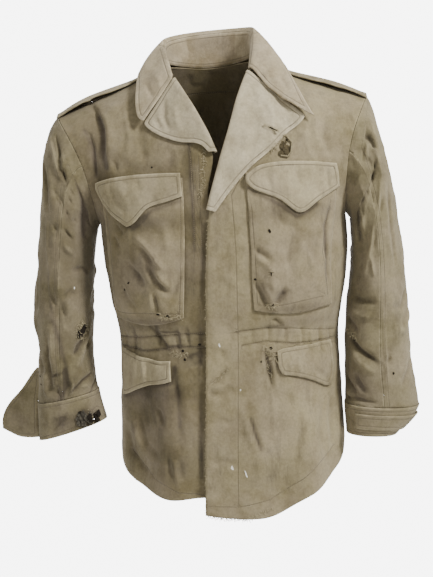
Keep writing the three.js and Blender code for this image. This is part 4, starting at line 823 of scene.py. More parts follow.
# Dark lines: painted shade along the deep troughs, the lap, the skirt flap's edge and the edge where the
# fronts overlap, and darker lines along the casing seams.
front_shade_and_seam_lines = {
    "left": [
        (2.6, 0.8, [(61, -450), (62, -469), (65, -484)]), (2.6, 0.5, [(34, -550), (39, -574), (47, -598)]),
        (3.4, 0.45, [(76, -458), (82, -484), (117, -496), (156, -514)]),
        (2.2, 0.5, [(14, -417), (56, -413), (88, -411)]),
        (2.0, 0.4, [(24, -438), (60, -434), (104, -441), (168, -441)]),
        (2.4, 0.35, [(-31, -496), (-14, -488), (0, -472)])
    ],
    "right": [
        (4, 0.8, [(-174, -78), (-169, -96), (-170, -133), (-166, -158)]),
        (3.4, 0.5, [(-200, -96), (-188, -124), (-187, -170)]),
        (8, 0.25, [(-150, -140), (-120, -160), (-60, -160)]), (3, 0.4, [(-79, -470), (-77, -560)]),
        (3.4, 0.5, [(-168, -521), (-133, -505), (-105, -498), (-86, -494), (-83, -470)]),
        (4, 0.5, [(-24, -250), (-40, -420), (-46, -640)]),
        (2.6, 0.7, [(-34, -124), (-37, -214), (-41, -290)]),
        (2.4, 0.5, [(-24, -440), (-70, -439), (-124, -446), (-176, -441)]),
        (2.2, 0.35, [(-24, -418), (-120, -423), (-172, -428)]),
        (2, 0.4, [(-118, -405), (-105, -422), (-86, -446)]),
        (1.6, 0.7, [(-104, -416), (-73, -414), (-69, -438), (-94, -436)]),
        (1.8, 0.35, [(-58, -410), (-55, -438)]), (2, 0.35, [(-144, -412), (-147, -452)]),
        (5, 0.3, [(-60, -454), (-36, -448)]), (1.8, 0.35, [(-109, -398), (-103, -438)]),
        (1.6, 0.3, [(-74, -412), (-71, -450)])
    ],
}
# Paler patches: faded cloth, and in part painted light on the upper chest and the gathers.
front_faded_and_lit = {
    "left": [
        (110, -100, 80, 60, 0.35), (-14, -440, 24, 60, 0.15), (110, -560, 50, 60, 0.22),
        (-14, -520, 26, 140, 0.2), (56, -426, 50, 16, 0.25), (156, -580, 20, 50, 0.4),
        (30, -300, 20, 120, 0.15)
    ],
    "right": [
        (-110, -90, 50, 50, 0.12), (-88, -426, 60, 20, 0.3), (-44, -560, 26, 80, 0.25),
        (-140, -90, 24, 40, 0.15)
    ],
}
# The left front, on the lamp's side, is made paler and the right one darker: painted light and shade on top
# of the cloth's own fading.
for side in ("right", "left"):
    piece = from_wall(f"front_{side}", f"front_panel_{side}", 3)
    straight = unlean(points_of(piece))
    dress(
        piece, f"front_{side}", front_cloth, straight, straight[:, [0, 2]],
        body_way(straight), front_creases[side], front_stitches[side], front_stains_and_shade[side], front_shade_and_seam_lines[side],
        front_faded_and_lit[side], on=["front_right"] if side == "left" else (),
        fade_and_light={"left": 0.34, "right": 0.12}[side], soil_and_shade={"left": 0.0, "right": 0.1}[side], hem=-600, calm=7
    )

chance = np.random.RandomState(11)
left_edge = [(-19, -240), (-24, -304), (-29, -397), (-34, -519), (-38, -611), (-42, -690)]
frays("front_frays", 0.00028, [
    ("front_left", left_edge, 260, 2.6, 0.7, 0.3),
    ("front_left", [(-40, -696), (-10, -704), (20, -702), (40, -696), (62, -686)], 150, 5, 0.6, 0.1),
    ("front_left", [(59, -440), (66, -452), (76, -462)], 70, 9, 0.3, 0.35),
    ("front_left", [(62, -452), (62, -469), (66, -486)], 60, 7, 0.3, 0.35),
    ("front_left", [(-33, -497), (-14, -488), (0, -470)], 26, 5, 0.3, 0.35),
    ("front_right", [(-14, -140), (-17, -186), (-25, -208)], 80, 5, 0.4, 0.35),
    ("front_right", [(-84, -446), (-70, -452), (-60, -448)], 30, 7, 0.4, 0.35),
])
# Dark discs of painted shade in the holes.
marks(
    "front_holes_left", "front_left",
    [
        (68, -446, 3.2, 2.4, 30), (62, -463, 1.7, 8, 4), (65, -479, 1.5, 6, -10), (4, -176, 1.6, 2.4, 0),
        (52, -466, 1.2, 1.8, 0)
    ],
    hole_shade_finish
)
# Dark discs of painted shade in the holes.
marks(
    "front_holes_right", "front_right",
    [
        (-95, -160, 1.6, 1.6, 0), (-68, -444, 2.2, 2.6, 10), (-64, -460, 1.8, 2.6, -20),
        (-40, -436, 2.6, 1.8, 0)
    ],
    hole_shade_finish
)
marks(
    "front_paint", "front_left",
    [
        (-11, -436, 1.3, 3.4, -12), (3, -624, 2.0, 4.4, -6), (24, -634, 1.2, 7.2, -14),
        (20, -507, 1.0, 1.6, 0)
    ],
    paint_finish
)

# Back
# One wide panel of the same cloth from the nape to the hem, drawn in by the same cord at the waist, which
# gathers it in short upright folds. It hangs in broad folds below the arms and over the seat.
# Each gather: where it is, how far it leans to one side and its half height
gathers = [
    (-158, 3, 20), (-141, -4, 27), (-119, 2, 22), (-101, -3, 30), (-76, 4, 24), (-58, -2, 20), (-33, 3, 29),
    (-12, -3, 23), (9, 4, 27), (35, -2, 21), (52, 3, 30), (79, -4, 25), (97, 2, 21), (122, -3, 28),
    (144, 3, 22)
]
back_creases = [
    (1.6, -1.4, "sewn", [(-168, -420), (-80, -422), (0, -424), (80, -422), (168, -420)]),
    (1.6, -1.4, "sewn", [(-168, -442), (-80, -446), (0, -447), (80, -446), (168, -442)]),
]
for x, lean, high in gathers:
    back_creases.append((3.2, -2.6, "soft", [(x, -432 + high), (x + lean, -434 - high)]))
for x, lean, high in gathers[::2]:
    back_creases.append((3.2, 1.6, "soft", [(x + 9, -428 + high), (x + 9 + lean, -440 - high)]))
back_creases += [
    (9, -4.0, "soft", [(-168, -170), (-130, -220), (-92, -300), (-70, -372)]),
    (8, 3.2, "soft", [(-176, -210), (-128, -268), (-104, -344)]),
    (9, -3.6, "soft", [(164, -186), (126, -246), (98, -318), (84, -380)]),
    (8, 3.0, "soft", [(172, -228), (134, -282), (110, -352)]),
    (7, -3.0, "soft", [(-60, -330), (-20, -352), (34, -346)]),
    (7, 2.4, "soft", [(-72, -360), (-14, -378), (50, -366)]),
    (7, -2.6, "soft", [(-44, -384), (6, -394), (62, -384)]),
    (6, -2.6, "soft", [(-120, -96), (-96, -140), (-90, -190)]),
    (6, -2.4, "soft", [(112, -90), (92, -142), (88, -196)]),
    (7, 2.0, "soft", [(-20, -80), (-26, -150), (-18, -230)]),
    (7, -2.0, "soft", [(14, -96), (18, -170), (10, -250)]),
    (9, -3.4, "soft", [(-112, -478), (-124, -560), (-120, -650)]),
    (8, 2.8, "soft", [(-86, -474), (-92, -550), (-84, -640)]),
    (9, -3.2, "soft", [(-34, -480), (-40, -570), (-30, -672)]),
    (8, 2.6, "soft", [(6, -484), (2, -566), (10, -676)]),
    (9, -3.4, "soft", [(56, -478), (64, -556), (58, -664)]),
    (8, 2.8, "soft", [(94, -476), (104, -548), (98, -648)]),
    (8, -3.0, "soft", [(136, -480), (142, -560), (132, -630)]),
    (5, -2.4, "soft", [(150, -262), (132, -300), (142, -346)]),
    (5, -2.4, "soft", [(-152, -256), (-136, -296), (-144, -350)]),
]
piece = from_wall("back", "back_panel", 3)
straight = unlean(points_of(piece))
dress(
    piece, "back", front_cloth, straight, straight[:, [0, 2]], body_way(straight),
    back_creases,
    [
        back_creases[0][3], back_creases[1][3], [(-160, -62), (-80, -50), (0, -46), (80, -50), (160, -62)],
        [(-150, -612), (-80, -664), (0, -684), (80, -664), (150, -612)]
    ],
    [
        (60, -560, 70, 80, 0.24), (-90, -240, 50, 60, 0.14), (0, -412, 160, 8, 0.2),
        (-60, -620, 60, 40, 0.2), (120, -330, 40, 60, 0.12)
    ],
    pale=[(0, -110, 150, 60, 0.22), (-90, -520, 60, 60, 0.18), (40, -300, 60, 70, 0.12)], fade_and_light=0.12,
    soil_and_shade=0.05, seed=3, hem=-600, depth=2.0
)
frays("back_frays", 0.00026, [
    ("back", [(-120, -660), (-60, -684), (0, -694), (60, -684), (120, -660)], 90, 6, 0.9, 0.1),
])

# Sleeves
# Each is cut in two, a top sleeve over the outside of the arm and an under sleeve against the body, sewn into
# the armhole with a double row of stitches. They keep the folds of bent arms; the right one is torn inside.
sleeve_tables = {
    "left": [
        (245, -70, 196, -250, 3, 130), (253, -92, 200, -256, 3, 140), (262, -132, 201, -263, 2, 150),
        (269, -176, 201, -273, 0, 155), (275, -222, 201, -287, -1, 155), (280, -286, 200, -312, -3, 150),
        (285, -345, 195.5, -352, -6, 144), (288, -398, 188, -400, -10, 138), (288, -455, 184, -455, -15, 130),
        (292, -508, 183, -506, -21, 118), (298, -558, 181, -551, -26, 104), (262, -598, 183, -595, -30, 82),
    ],
    "right": [
        (245, -70, 196, -250, 3, 130), (261, -92, 200, -256, 3, 140), (273, -132, 202, -264, 2, 150),
        (281, -176, 206, -276, -1, 155), (289, -222, 209, -292, -3, 153), (299, -288, 213, -322, -5, 148),
        (305, -350, 215, -362, -8, 140), (307, -405, 217, -405, -12, 132), (306, -450, 220, -446, -17, 120),
        (308, -490, 217, -480, -22, 106), (311, -536, 212, -516, -27, 90), (311, -592, 201, -560, -32, 72),
    ],
}
ARM_LENGTH, ARM_GIRTH = 560.0, 400.0


def on_arm(side, straight):
    """For each point of a sleeve: how far down it is (0 to 1), its turn round it in degrees (0 against the
    body, 90 in front, 180 outside), and the outward direction."""
    sign = 1 if side == "left" else -1
    table = np.array(sleeve_tables[side], float)
    at = np.linspace(0, len(table) - 1, 221)
    rows = np.stack([np.interp(at, range(len(table)), table[:, n]) for n in range(6)], 1)
    local = straight * (sign, 1, 1)
    span = rows[:, [0, 1]] - rows[:, [2, 3]]
    normal = np.stack([-span[:, 1], span[:, 0]], 1)
    normal /= -np.linalg.norm(normal, axis=1)[:, None]
    flat = local[:, [0, 2]]
    past = flat @ normal.T - np.sum(rows[:, [2, 3]] * normal, axis=1)
    reached = past <= 0
    reached[:, -1] = True
    index = np.clip(np.argmax(reached, axis=1), 1, len(at) - 1)
    pick = np.arange(len(flat))
    low, high = past[pick, index - 1], past[pick, index]
    share = np.clip(-low / np.where(high - low == 0, 1, high - low), 0, 1)
    spot = at[index - 1] + share * (at[1] - at[0])
    row = np.stack([np.interp(spot, at, rows[:, n]) for n in range(6)], 1)
    inside = row[:, [2, 3]]
    reach = row[:, [0, 1]] - inside
    across = np.sum((flat - inside) * reach, axis=1) / np.sum(reach ** 2, axis=1)
    front = -(local[:, 1] - row[:, 4]) / (row[:, 5] / 2)
    cosine, sine = 1 - 2 * across, front
    turn = np.degrees(
        np.arctan2(np.sign(sine) * np.abs(sine) ** 1.1, np.sign(cosine) * np.abs(cosine) ** 1.1)
    ) % 360
    middle = inside + reach / 2
    way = np.stack([local[:, 0] - middle[:, 0], local[:, 1] - row[:, 4], local[:, 2] - middle[:, 1]], 1)
    way /= np.linalg.norm(way, axis=1)[:, None]
    return spot / (len(table) - 1), turn, way * (sign, 1, 1)


def arm_places(lines):
    """Lines given as (turn in degrees, share of the length) in the sleeve's own mm."""
    return [(*line[:-1], [(t / 360 * ARM_GIRTH, s * ARM_LENGTH) for t, s in line[-1]]) for line in lines]


sleeve_creases = {
    "right": [
        (6, -4.5, "soft", [(142, 0.04), (120, 0.05), (102, 0.09), (90, 0.11), (75, 0.11)]),
        (7, 3.2, "soft", [(150, 0.09), (122, 0.11), (100, 0.15)]),
        (5, -3.0, "soft", [(92, 0.14), (80, 0.18)]),
        (8, -5.0, "soft", [(80, 0.02), (62, 0.05), (52, 0.12), (42, 0.30)]),
        (5, -4.0, "soft", [(52, 0.05), (35, 0.17)]),
        (6, -3.6, "soft", [(106, 0.37), (82, 0.34), (66, 0.36)]),
        (7, 3.0, "soft", [(110, 0.41), (86, 0.39), (60, 0.41)]),
        (7, -3.2, "soft", [(112, 0.22), (88, 0.25), (62, 0.24)]),
        (6, -3.0, "soft", [(152, 0.18), (130, 0.24), (120, 0.33)]),
        (8, 2.8, "soft", [(160, 0.14), (142, 0.26), (130, 0.36)]),
        (6, 3.0, "lap", [(128, 0.33), (118, 0.43), (110, 0.49), (108, 0.55), (102, 0.60)]),
        (6, -3.6, "soft", [(108, 0.54), (92, 0.57), (76, 0.61)]),
        (5, -3.2, "soft", [(85, 0.55), (70, 0.53), (52, 0.54)]),
        (6, 3.2, "soft", [(112, 0.60), (92, 0.62), (78, 0.65)]),
        (6, -4.4, "soft", [(16, 0.63), (35, 0.68), (55, 0.71), (66, 0.75)]),
        (5, -3.4, "soft", [(13, 0.70), (35, 0.72)]),
        (6, 3.2, "soft", [(20, 0.66), (44, 0.735), (62, 0.79)]),
        (6, -3.8, "soft", [(108, 0.66), (118, 0.73), (112, 0.80), (112, 0.86)]),
        (4, -3.2, "soft", [(110, 0.81), (84, 0.80)]), (4, -3.0, "soft", [(104, 0.87), (84, 0.86)]),
        (4, 2.4, "soft", [(108, 0.84), (84, 0.83)]), (3, 4.0, "soft", [(75, 0.83), (72, 0.85), (85, 0.92)]),
        (5, -4.6, "soft", [(86, 0.78), (87, 0.85), (98, 0.915)]),
        (8, 3.2, "soft", [(126, 0.79), (124, 0.86), (108, 0.90)]),
        (4, -4.0, "soft", [(132, 0.90), (110, 0.928), (92, 0.912)]),
        (4, -4.2, "soft", [(76, 0.875), (48, 0.845), (20, 0.83)]),
        (3.4, -3.8, "soft", [(80, 0.912), (62, 0.90), (38, 0.90)]),
        (3, -4.2, "soft", [(50, 0.92), (30, 0.89), (-10, 0.85)]),
        (4, 2.6, "soft", [(70, 0.86), (50, 0.865), (34, 0.875)]),
        (6, -3.4, "soft", [(170, 0.45), (150, 0.52), (146, 0.60)]),
        (7, 3.0, "soft", [(186, 0.50), (166, 0.58), (158, 0.68)]),
        (6, -3.4, "soft", [(182, 0.70), (150, 0.74), (128, 0.80)]),
        (6, -3.4, "soft", [(240, 0.30), (222, 0.38), (196, 0.42)]),
        (7, 3.0, "soft", [(248, 0.38), (224, 0.46), (204, 0.50)]),
        (6, -3.6, "soft", [(262, 0.52), (240, 0.57), (208, 0.60)]),
        (6, -3.4, "soft", [(256, 0.68), (230, 0.72), (200, 0.80)]),
        (5, -3.0, "soft", [(250, 0.84), (222, 0.86), (190, 0.88)]),
        (6, -3.2, "soft", [(230, 0.08), (216, 0.16), (220, 0.26)]),
        (6, -3.4, "soft", [(-20, 0.34), (-44, 0.42), (-70, 0.44)]),
        (6, 3.0, "soft", [(-14, 0.44), (-40, 0.52), (-72, 0.54)]),
        (6, -3.4, "soft", [(-10, 0.58), (-40, 0.63), (-74, 0.62)]),
        (5, -3.2, "soft", [(-8, 0.76), (-36, 0.78), (-70, 0.83)]),
        (7, -3.8, "soft", [(8, 0.14), (-24, 0.18), (-60, 0.16)]),
        (5, -3.0, "soft", [(20, 0.46), (44, 0.45), (70, 0.47)]),
    ],
    "left": [
        (
            6, -6.0, "soft",
            [(128, 0.03), (114, 0.05), (122, 0.12), (120, 0.18), (104, 0.205), (84, 0.22), (60, 0.19)]
        ),
        (9, 3.6, "soft", [(104, 0.06), (100, 0.12), (100, 0.165)]),
        (5, 3.4, "lap", [(66, 0.02), (76, 0.05), (88, 0.13), (95, 0.18), (85, 0.20), (65, 0.205)]),
        (7, -4.2, "soft", [(56, 0.20), (46, 0.30), (42, 0.42)]),
        (6, 2.8, "soft", [(72, 0.235), (60, 0.31), (56, 0.40)]),
        (5, 3.0, "soft", [(120, 0.24), (102, 0.31), (82, 0.39), (70, 0.46), (55, 0.54)]),
        (6, -3.0, "soft", [(112, 0.31), (92, 0.38), (78, 0.46)]),
        (4, 2.4, "soft", [(70, 0.46), (80, 0.54)]),
        (3, 2.4, "soft", [(98, 0.34), (90, 0.53), (92, 0.58), (95, 0.69), (98, 0.76), (92, 0.92)]),
        (6, -3.8, "soft", [(26, 0.595), (50, 0.605), (88, 0.61)]),
        (5, -3.2, "soft", [(13, 0.66), (34, 0.67), (52, 0.69)]),
        (6, 3.0, "soft", [(22, 0.635), (52, 0.645), (84, 0.65)]),
        (5, -4.4, "soft", [(30, 0.705), (50, 0.73), (70, 0.75), (92, 0.77)]),
        (6, 3.2, "soft", [(34, 0.74), (58, 0.77), (84, 0.80)]),
        (4, -3.0, "soft", [(95, 0.775), (108, 0.755)]),
        (5, -3.6, "soft", [(6, 0.815), (32, 0.84), (47, 0.87)]),
        (5, -4.2, "soft", [(10, 0.88), (52, 0.88), (75, 0.89), (90, 0.915)]),
        (6, -4.0, "soft", [(40, 0.80), (52, 0.83), (64, 0.855)]),
        (6, 2.6, "soft", [(16, 0.85), (44, 0.90)]),
        (6, -3.2, "soft", [(136, 0.30), (120, 0.42), (124, 0.52)]),
        (6, -3.4, "soft", [(160, 0.58), (132, 0.63), (112, 0.62)]),
        (6, 3.0, "soft", [(164, 0.64), (136, 0.69), (112, 0.68)]),
        (6, -3.4, "soft", [(176, 0.76), (150, 0.79), (120, 0.84)]),
        (7, -3.2, "soft", [(172, 0.10), (158, 0.20), (160, 0.30)]),
        (6, -3.4, "soft", [(244, 0.28), (224, 0.37), (196, 0.40)]),
        (7, 3.0, "soft", [(250, 0.36), (226, 0.45), (200, 0.49)]),
        (6, -3.6, "soft", [(262, 0.50), (238, 0.56), (206, 0.58)]),
        (6, -3.4, "soft", [(258, 0.66), (232, 0.71), (198, 0.76)]),
        (5, -3.0, "soft", [(252, 0.83), (224, 0.86), (186, 0.87)]),
        (6, -3.2, "soft", [(232, 0.06), (214, 0.15), (222, 0.24)]),
        (6, -3.4, "soft", [(-18, 0.33), (-46, 0.40), (-72, 0.43)]),
        (6, 3.0, "soft", [(-12, 0.42), (-42, 0.50), (-70, 0.52)]),
        (6, -3.6, "soft", [(-10, 0.56), (-42, 0.60), (-74, 0.61)]),
        (5, -3.2, "soft", [(-8, 0.74), (-38, 0.77), (-72, 0.80)]),
        (7, -3.8, "soft", [(10, 0.12), (-22, 0.17), (-58, 0.15)]),
    ],
}
sleeve_stitches = arm_places(
    [
        ([(97, 0.03), (97, 0.5), (97, 0.92)],), ([(263, 0.03), (263, 0.92)],),
        ([(-10, 0.02), (90, 0.02), (180, 0.016), (270, 0.02)],)
    ]
)
# Dark patches: stains round the tear and the cuffs, and painted shade in the armpit hollow.
sleeve_stains_and_shade = {
    "right": [
        (89, 470, 26, 22, 0.3), (60, 240, 34, 60, 0.3), (45, 120, 26, 90, 0.5), (70, 386, 30, 22, 0.3),
        (130, 500, 40, 30, 0.25)
    ],
    "left": [
        (52, 130, 20, 60, 0.45), (60, 470, 24, 20, 0.45), (40, 340, 40, 90, 0.25), (116, 70, 16, 30, 0.35),
        (70, 520, 50, 16, 0.35), (20, 480, 30, 60, 0.3)
    ],
}
# Dark lines of painted shade along the deepest troughs and beside the lap.
sleeve_crease_shade = {
    "right": arm_places(
        [
            (5, 0.5, [(110, 0.49), (105, 0.58), (90, 0.68), (80, 0.78), (82, 0.85)]),
            (5, 0.5, [(80, 0.02), (58, 0.08), (44, 0.30)]), (4, 0.4, [(35, 0.68), (60, 0.73)]),
            (4, 0.6, [(84, 0.79), (85, 0.85), (97, 0.915)]),
            (3, 0.6, [(130, 0.90), (110, 0.928), (92, 0.915)]),
            (2.6, 0.55, [(76, 0.875), (48, 0.845), (22, 0.83)]),
            (2.6, 0.65, [(50, 0.92), (30, 0.89), (-6, 0.85)]), (2.6, 0.4, [(108, 0.81), (88, 0.80)])
        ]
    ),
    "left": arm_places(
        [
            (4, 0.5, [(114, 0.05), (122, 0.12), (118, 0.19), (100, 0.21), (66, 0.20)]),
            (4, 0.4, [(32, 0.71), (70, 0.75), (92, 0.77)]), (5, 0.4, [(54, 0.20), (44, 0.40)])
        ]
    ),
}
# Paler patches: faded cloth, and in part painted light on the tops of the sleeves.
sleeve_faded_and_lit = {
    "right": [(140, 40, 60, 60, 0.25), (120, 330, 30, 80, 0.12)],
    "left": [(130, 60, 60, 70, 0.45), (110, 260, 40, 120, 0.25), (100, 180, 40, 60, 0.2)],
}
sleeve_cloth = cotton("sleeve cotton", (100, 91, 64), (156, 145, 112))
for side in ("left", "right"):
    for part in ("top", "under"):
        piece = from_wall(f"{part}_sleeve_{side}", f"{part}_sleeve_cloth_{side}", 3)
        straight = unlean(points_of(piece))
        along, turn, way = on_arm(side, straight)
        if part == "under":
            turn = np.where(turn > 180, turn - 360, turn)
        places = np.stack([turn / 360 * ARM_GIRTH, along * ARM_LENGTH], 1)
        # The left sleeve, on the lamp's side, is made paler than the right one: painted light on top of the
        # cloth's own fading.
        dress(
            piece, f"{part}_sleeve_{side}", sleeve_cloth, straight, places, way,
            arm_places(sleeve_creases[side]), [line[0] for line in sleeve_stitches], sleeve_stains_and_shade[side],
            sleeve_crease_shade[side], sleeve_faded_and_lit[side], seed=5, rumple=1.6, pull=(0.5, 0.5, 1.0), depth=1.5,
            # Their inner faces are darkened strongly: painted shade where they show through the cuffs and the
            # tear.
            round_way=True, part_walls=True, fade_and_light={"left": 0.26, "right": 0.08}[side], soil_and_shade=0.06, inside=0.9
        )

# Cuffs
# Doubled bands sewn on the sleeves' ends. The left one is closed by a tab with a rounded end, and the right
# one is unfastened, so that its vent's flap stands out, and worn through in front, where it is stained dark.
cuff_cloth = cotton("cuff cotton", (104, 95, 67), (158, 146, 113), edge_wear=0.8)
cuff_sizes = {
    "cuff_left": ((0.300, 0.060), 0.0158), "cuff_right": ((0.300, 0.060), 0.0162),
    "cuff_vent_right": ((0.075, 0.105), 0.0048), "cuff_tab_left": ((0.128, 0.032), 0.0038),
}
cuff_creases = {
    "cuff_left": arm_places(
        [
            (4, -2.0, "soft", [(58, 0.95), (75, 0.96), (95, 0.97)]),
            (4, -1.8, "soft", [(20, 0.94), (44, 0.96)]), (4, -1.8, "soft", [(200, 0.93), (230, 0.96)]),
            (4, -1.8, "soft", [(280, 0.95), (320, 0.96)])
        ]
    ),
    "cuff_right": arm_places(
        [
            (3, -2.8, "soft", [(122, 0.955), (102, 0.952), (86, 0.945)]),
            (3, -3.0, "soft", [(124, 0.985), (106, 0.97), (92, 0.952)]),
            (4, 2.0, "soft", [(112, 0.99), (90, 0.975), (84, 0.965)]),
            (4, -1.8, "soft", [(150, 0.95), (126, 0.96)]), (4, -1.8, "soft", [(240, 0.94), (210, 0.96)]),
            (4, -1.8, "soft", [(300, 0.95), (340, 0.96)])
        ]
    ),
}
for node, (flat, area) in cuff_sizes.items():
    side = node.split("_")[-1]
    piece = from_wall(node, node + "_cloth", 2)
    if node == "cuff_vent_right":
        points = points_of(piece)
        points[:, 0] += 3.6 * np.clip((points[:, 0] - points[:, 0].max() + 14) / 14, 0, 1) ** 2
        put_points(piece, points)
    straight = unlean(points_of(piece))
    along, turn, way = on_arm(side, straight)
    if node == "cuff_vent_right":
        way = np.tile((-0.3, -0.95, 0), (len(straight), 1))
    places = np.stack([turn / 360 * ARM_GIRTH, along * ARM_LENGTH], 1)
    dark = [
        (70, 543, 18, 16, 0.9), (62, 556, 12, 10, 0.8), (112, 536, 18, 9, 0.5), (104, 548, 20, 12, 0.3),
        (40, 540, 24, 20, 0.25)
    ] if node == "cuff_right" else []
    dress(
        piece, node, cuff_cloth, straight, places, way, cuff_creases.get(node, ()), "edge",
        dark, seed=7, lumps=0.8 if node in cuff_creases else 0.4, rumple=0.8,
        # Inner faces are darkened: painted shade inside the bands.
        fade_and_light={"cuff_right": 0.12, "cuff_vent_right": 0.3}.get(node, 0.4), soil_and_shade=0.08, inside=0.6, rim=0.25
    )

# Chest pockets
# Large bellows bags of the same cloth, doubled round the edge and sewn on the fronts along both sides and
# below. The left one is pulled up at its lower edge, and the right one is creased across by what it held.
pocket_cloth = cotton("pocket cotton", (112, 101, 71), (166, 153, 120), edge_wear=0.8)
pocket_creases = {
    "right": [
        (5, 3.0, "soft", [(-132, -262), (-108, -290), (-88, -318)]),
        (6, -3.4, "soft", [(-127, -271), (-109, -304), (-92, -330)]),
        (4.5, -4.0, "soft", [(-118, -306), (-103, -333), (-82, -354)]),
        (5, 2.6, "soft", [(-108, -304), (-92, -332), (-74, -348)]),
        (4.5, -3.4, "soft", [(-148, -303), (-129, -326), (-118, -346)]),
        (3.4, -3.4, "soft", [(-107, -352), (-104, -366), (-101, -384)]),
        (3.4, 2.6, "soft", [(-112, -350), (-110, -384)]), (4, -2.4, "soft", [(-162, -246), (-150, -264)]),
        (4, -2.2, "soft", [(-168, -262), (-160, -284)]),
        (6, -2.6, "soft", [(-82, -366), (-68, -338), (-60, -318)]),
        (5, -2.6, "soft", [(-158, -340), (-150, -362), (-132, -382)]),
        (7, 2.0, "soft", [(-84, -246), (-80, -290)]),
    ],
    "left": [
        (5, -4.0, "soft", [(48, -340), (60, -362), (66, -377)]),
        (5, -3.8, "soft", [(97, -352), (86, -366), (77, -378)]), (5, 3.0, "soft", [(62, -350), (71, -376)]),
        (6, 2.4, "soft", [(76, -340), (73, -372)]), (6, -3.0, "soft", [(48, -290), (60, -297), (74, -312)]),
        (6, 2.2, "soft", [(50, -302), (66, -312), (76, -330)]),
        (3.2, -2.8, "soft", [(170, -234), (161, -262), (158, -300), (160, -345), (166, -366)]),
        (6, -2.2, "soft", [(120, -262), (104, -290), (96, -322)]),
        (6, -2.0, "soft", [(148, -270), (138, -312), (120, -350)]),
        (7, 2.0, "soft", [(132, -262), (118, -300), (106, -346)]),
        (6, -1.8, "soft", [(84, -240), (98, -256), (124, -262)]),
    ],
}
pocket_stitches = {
    "right": [
        [(-176, -215), (-174, -304), (-170, -384)], [(-54, -190), (-69, -388)],
        [(-170, -384), (-100, -384), (-70, -386)]
    ],
    "left": [
        [(50, -226), (50, -376)], [(170, -226), (152, -300), (157, -368)],
        [(50, -376), (76, -380), (150, -370)]
    ],
}
for side, slant in (("right", -1), ("left", 1)):
    piece = from_wall(f"chest_pocket_{side}", f"chest_pocket_cloth_{side}", 3)
    straight = unlean(points_of(piece))
    # The left pocket is made paler than the right one: painted light on the lamp's side, on top of the
    # cloth's own fading.
    dress(
        piece, f"chest_pocket_{side}", pocket_cloth, straight, straight[:, [0, 2]],
        body_way(straight), pocket_creases[side], pocket_stitches[side],
        # Dark patches and lines of painted shadow below the flaps' edges, along the bags' lower edges and in
        # the deep side crease, with some stains; the pale line along each bag's outer fold is rubbed wear
        # with a painted highlight.
        {
            "right": [
                (-120, -246, 60, 15, 0.6), (-150, -330, 30, 50, 0.28), (-112, -312, 34, 30, 0.2),
                (-120, -398, 60, 8, 0.45), (-66, -330, 8, 80, 0.2)
            ],
            "left": [
                (112, -236, 56, 13, 0.5), (120, -282, 40, 34, 0.2), (66, -350, 14, 26, 0.3),
                (90, -362, 16, 12, 0.3), (110, -386, 56, 8, 0.45)
            ]
        }[side],
        {
            "right": [(4, 0.5, [(-176, -214), (-133, -254), (-100, -226), (-58, -214)])],
            "left": [
                (4, 0.55, [(46, -200), (94, -226), (118, -246), (148, -229)]),
                (2.4, 0.6, [(168, -236), (160, -264), (157, -345)])
            ]
        }[side],
        pale=[(slant * 80, -300, 30, 60, 0.2)],
        pale_lines=[(3, 0.4, [(slant * x, z) for x, z in ((182, -226), (178, -300), (174, -385))])],
        on=[f"front_{side}"], seed=9, lumps=0.7, rumple=2.3, depth=1.6,
        fade_and_light={"left": 0.38, "right": 0.22}[side], soil_and_shade=0.04
    )
frays("pocket_frays", 0.00028, [
    ("chest_pocket_right", [(-98, -386), (-84, -391), (-68, -388)], 60, 7, 0.3, 0.35),
    ("chest_pocket_left", [(64, -376), (72, -380), (82, -379)], 46, 6, 0.3, 0.35),
    ("chest_pocket_left", [(74, -318), (74, -332)], 12, 4, 0.0, 0.35),
])
# Dark discs of painted shade in the holes.
marks(
    "pocket_holes_right", "chest_pocket_right",
    [
        (-146, -336, 2.6, 1.4, -40), (-155, -348, 1.6, 2.6, 0), (-88, -388, 7, 2.2, 10),
        (-102, -386, 3, 1.8, 0)
    ],
    hole_shade_finish
)
# Dark discs of painted shade in the holes.
marks(
    "pocket_holes_left", "chest_pocket_left",
    [
        (74, -266, 1.8, 4.6, -20), (73, -328, 4.6, 0.9, 0), (73, -328, 0.8, 6.4, 0),
        (49, -336, 2.6, 2.0, 0), (72, -378, 3.4, 2.6, 0)
    ],
    hole_shade_finish
)

# Pocket flaps
# Doubled cloth with rounded points over the chest pockets, and plain slanted ones over the skirt pockets,
# which are bags inside the fronts. Each is sewn along its top, its edge is stitched 6 mm in and rubbed pale.
flap_cloth = cotton("flap cotton", (118, 107, 77), (176, 164, 131), edge_wear=1.0)
flaps = {
    "chest_flap_left": (
        0.145, 0.078, 0.0080,
        [
            (5, -1.8, "soft", [(78, -172), (80, -196)]), (5, -2.0, "soft", [(124, -172), (128, -200)]),
            (6, 1.6, "soft", [(104, -176), (110, -224)])
        ]
    ),
    "chest_flap_right": (
        0.145, 0.078, 0.0076,
        [
            (5, -2.2, "soft", [(-166, -186), (-158, -206), (-138, -232)]),
            (5, -1.8, "soft", [(-120, -178), (-116, -200)]), (6, 1.8, "soft", [(-148, -184), (-140, -214)]),
            (6, -1.6, "soft", [(-100, -220), (-92, -204)])
        ]
    ),
    "skirt_flap_left": (
        0.095, 0.070, 0.0055,
        [
            (4, -2.2, "soft", [(132, -482), (146, -496), (158, -506)]),
            (5, 1.6, "soft", [(108, -456), (112, -488)]), (4, 1.8, "soft", [(138, -476), (152, -492)])
        ]
    ),
    "skirt_flap_right": (
        0.095, 0.075, 0.0054,
        [
            (4, -2.2, "soft", [(-141, -462), (-137, -500)]), (4, 1.8, "soft", [(-134, -460), (-131, -496)]),
            (3.4, -2.6, "soft", [(-124, -460), (-108, -463), (-90, -458)]),
            (4, -2.0, "soft", [(-126, -466), (-125, -494)]), (5, -1.8, "soft", [(-158, -470), (-156, -506)])
        ]
    ),
}
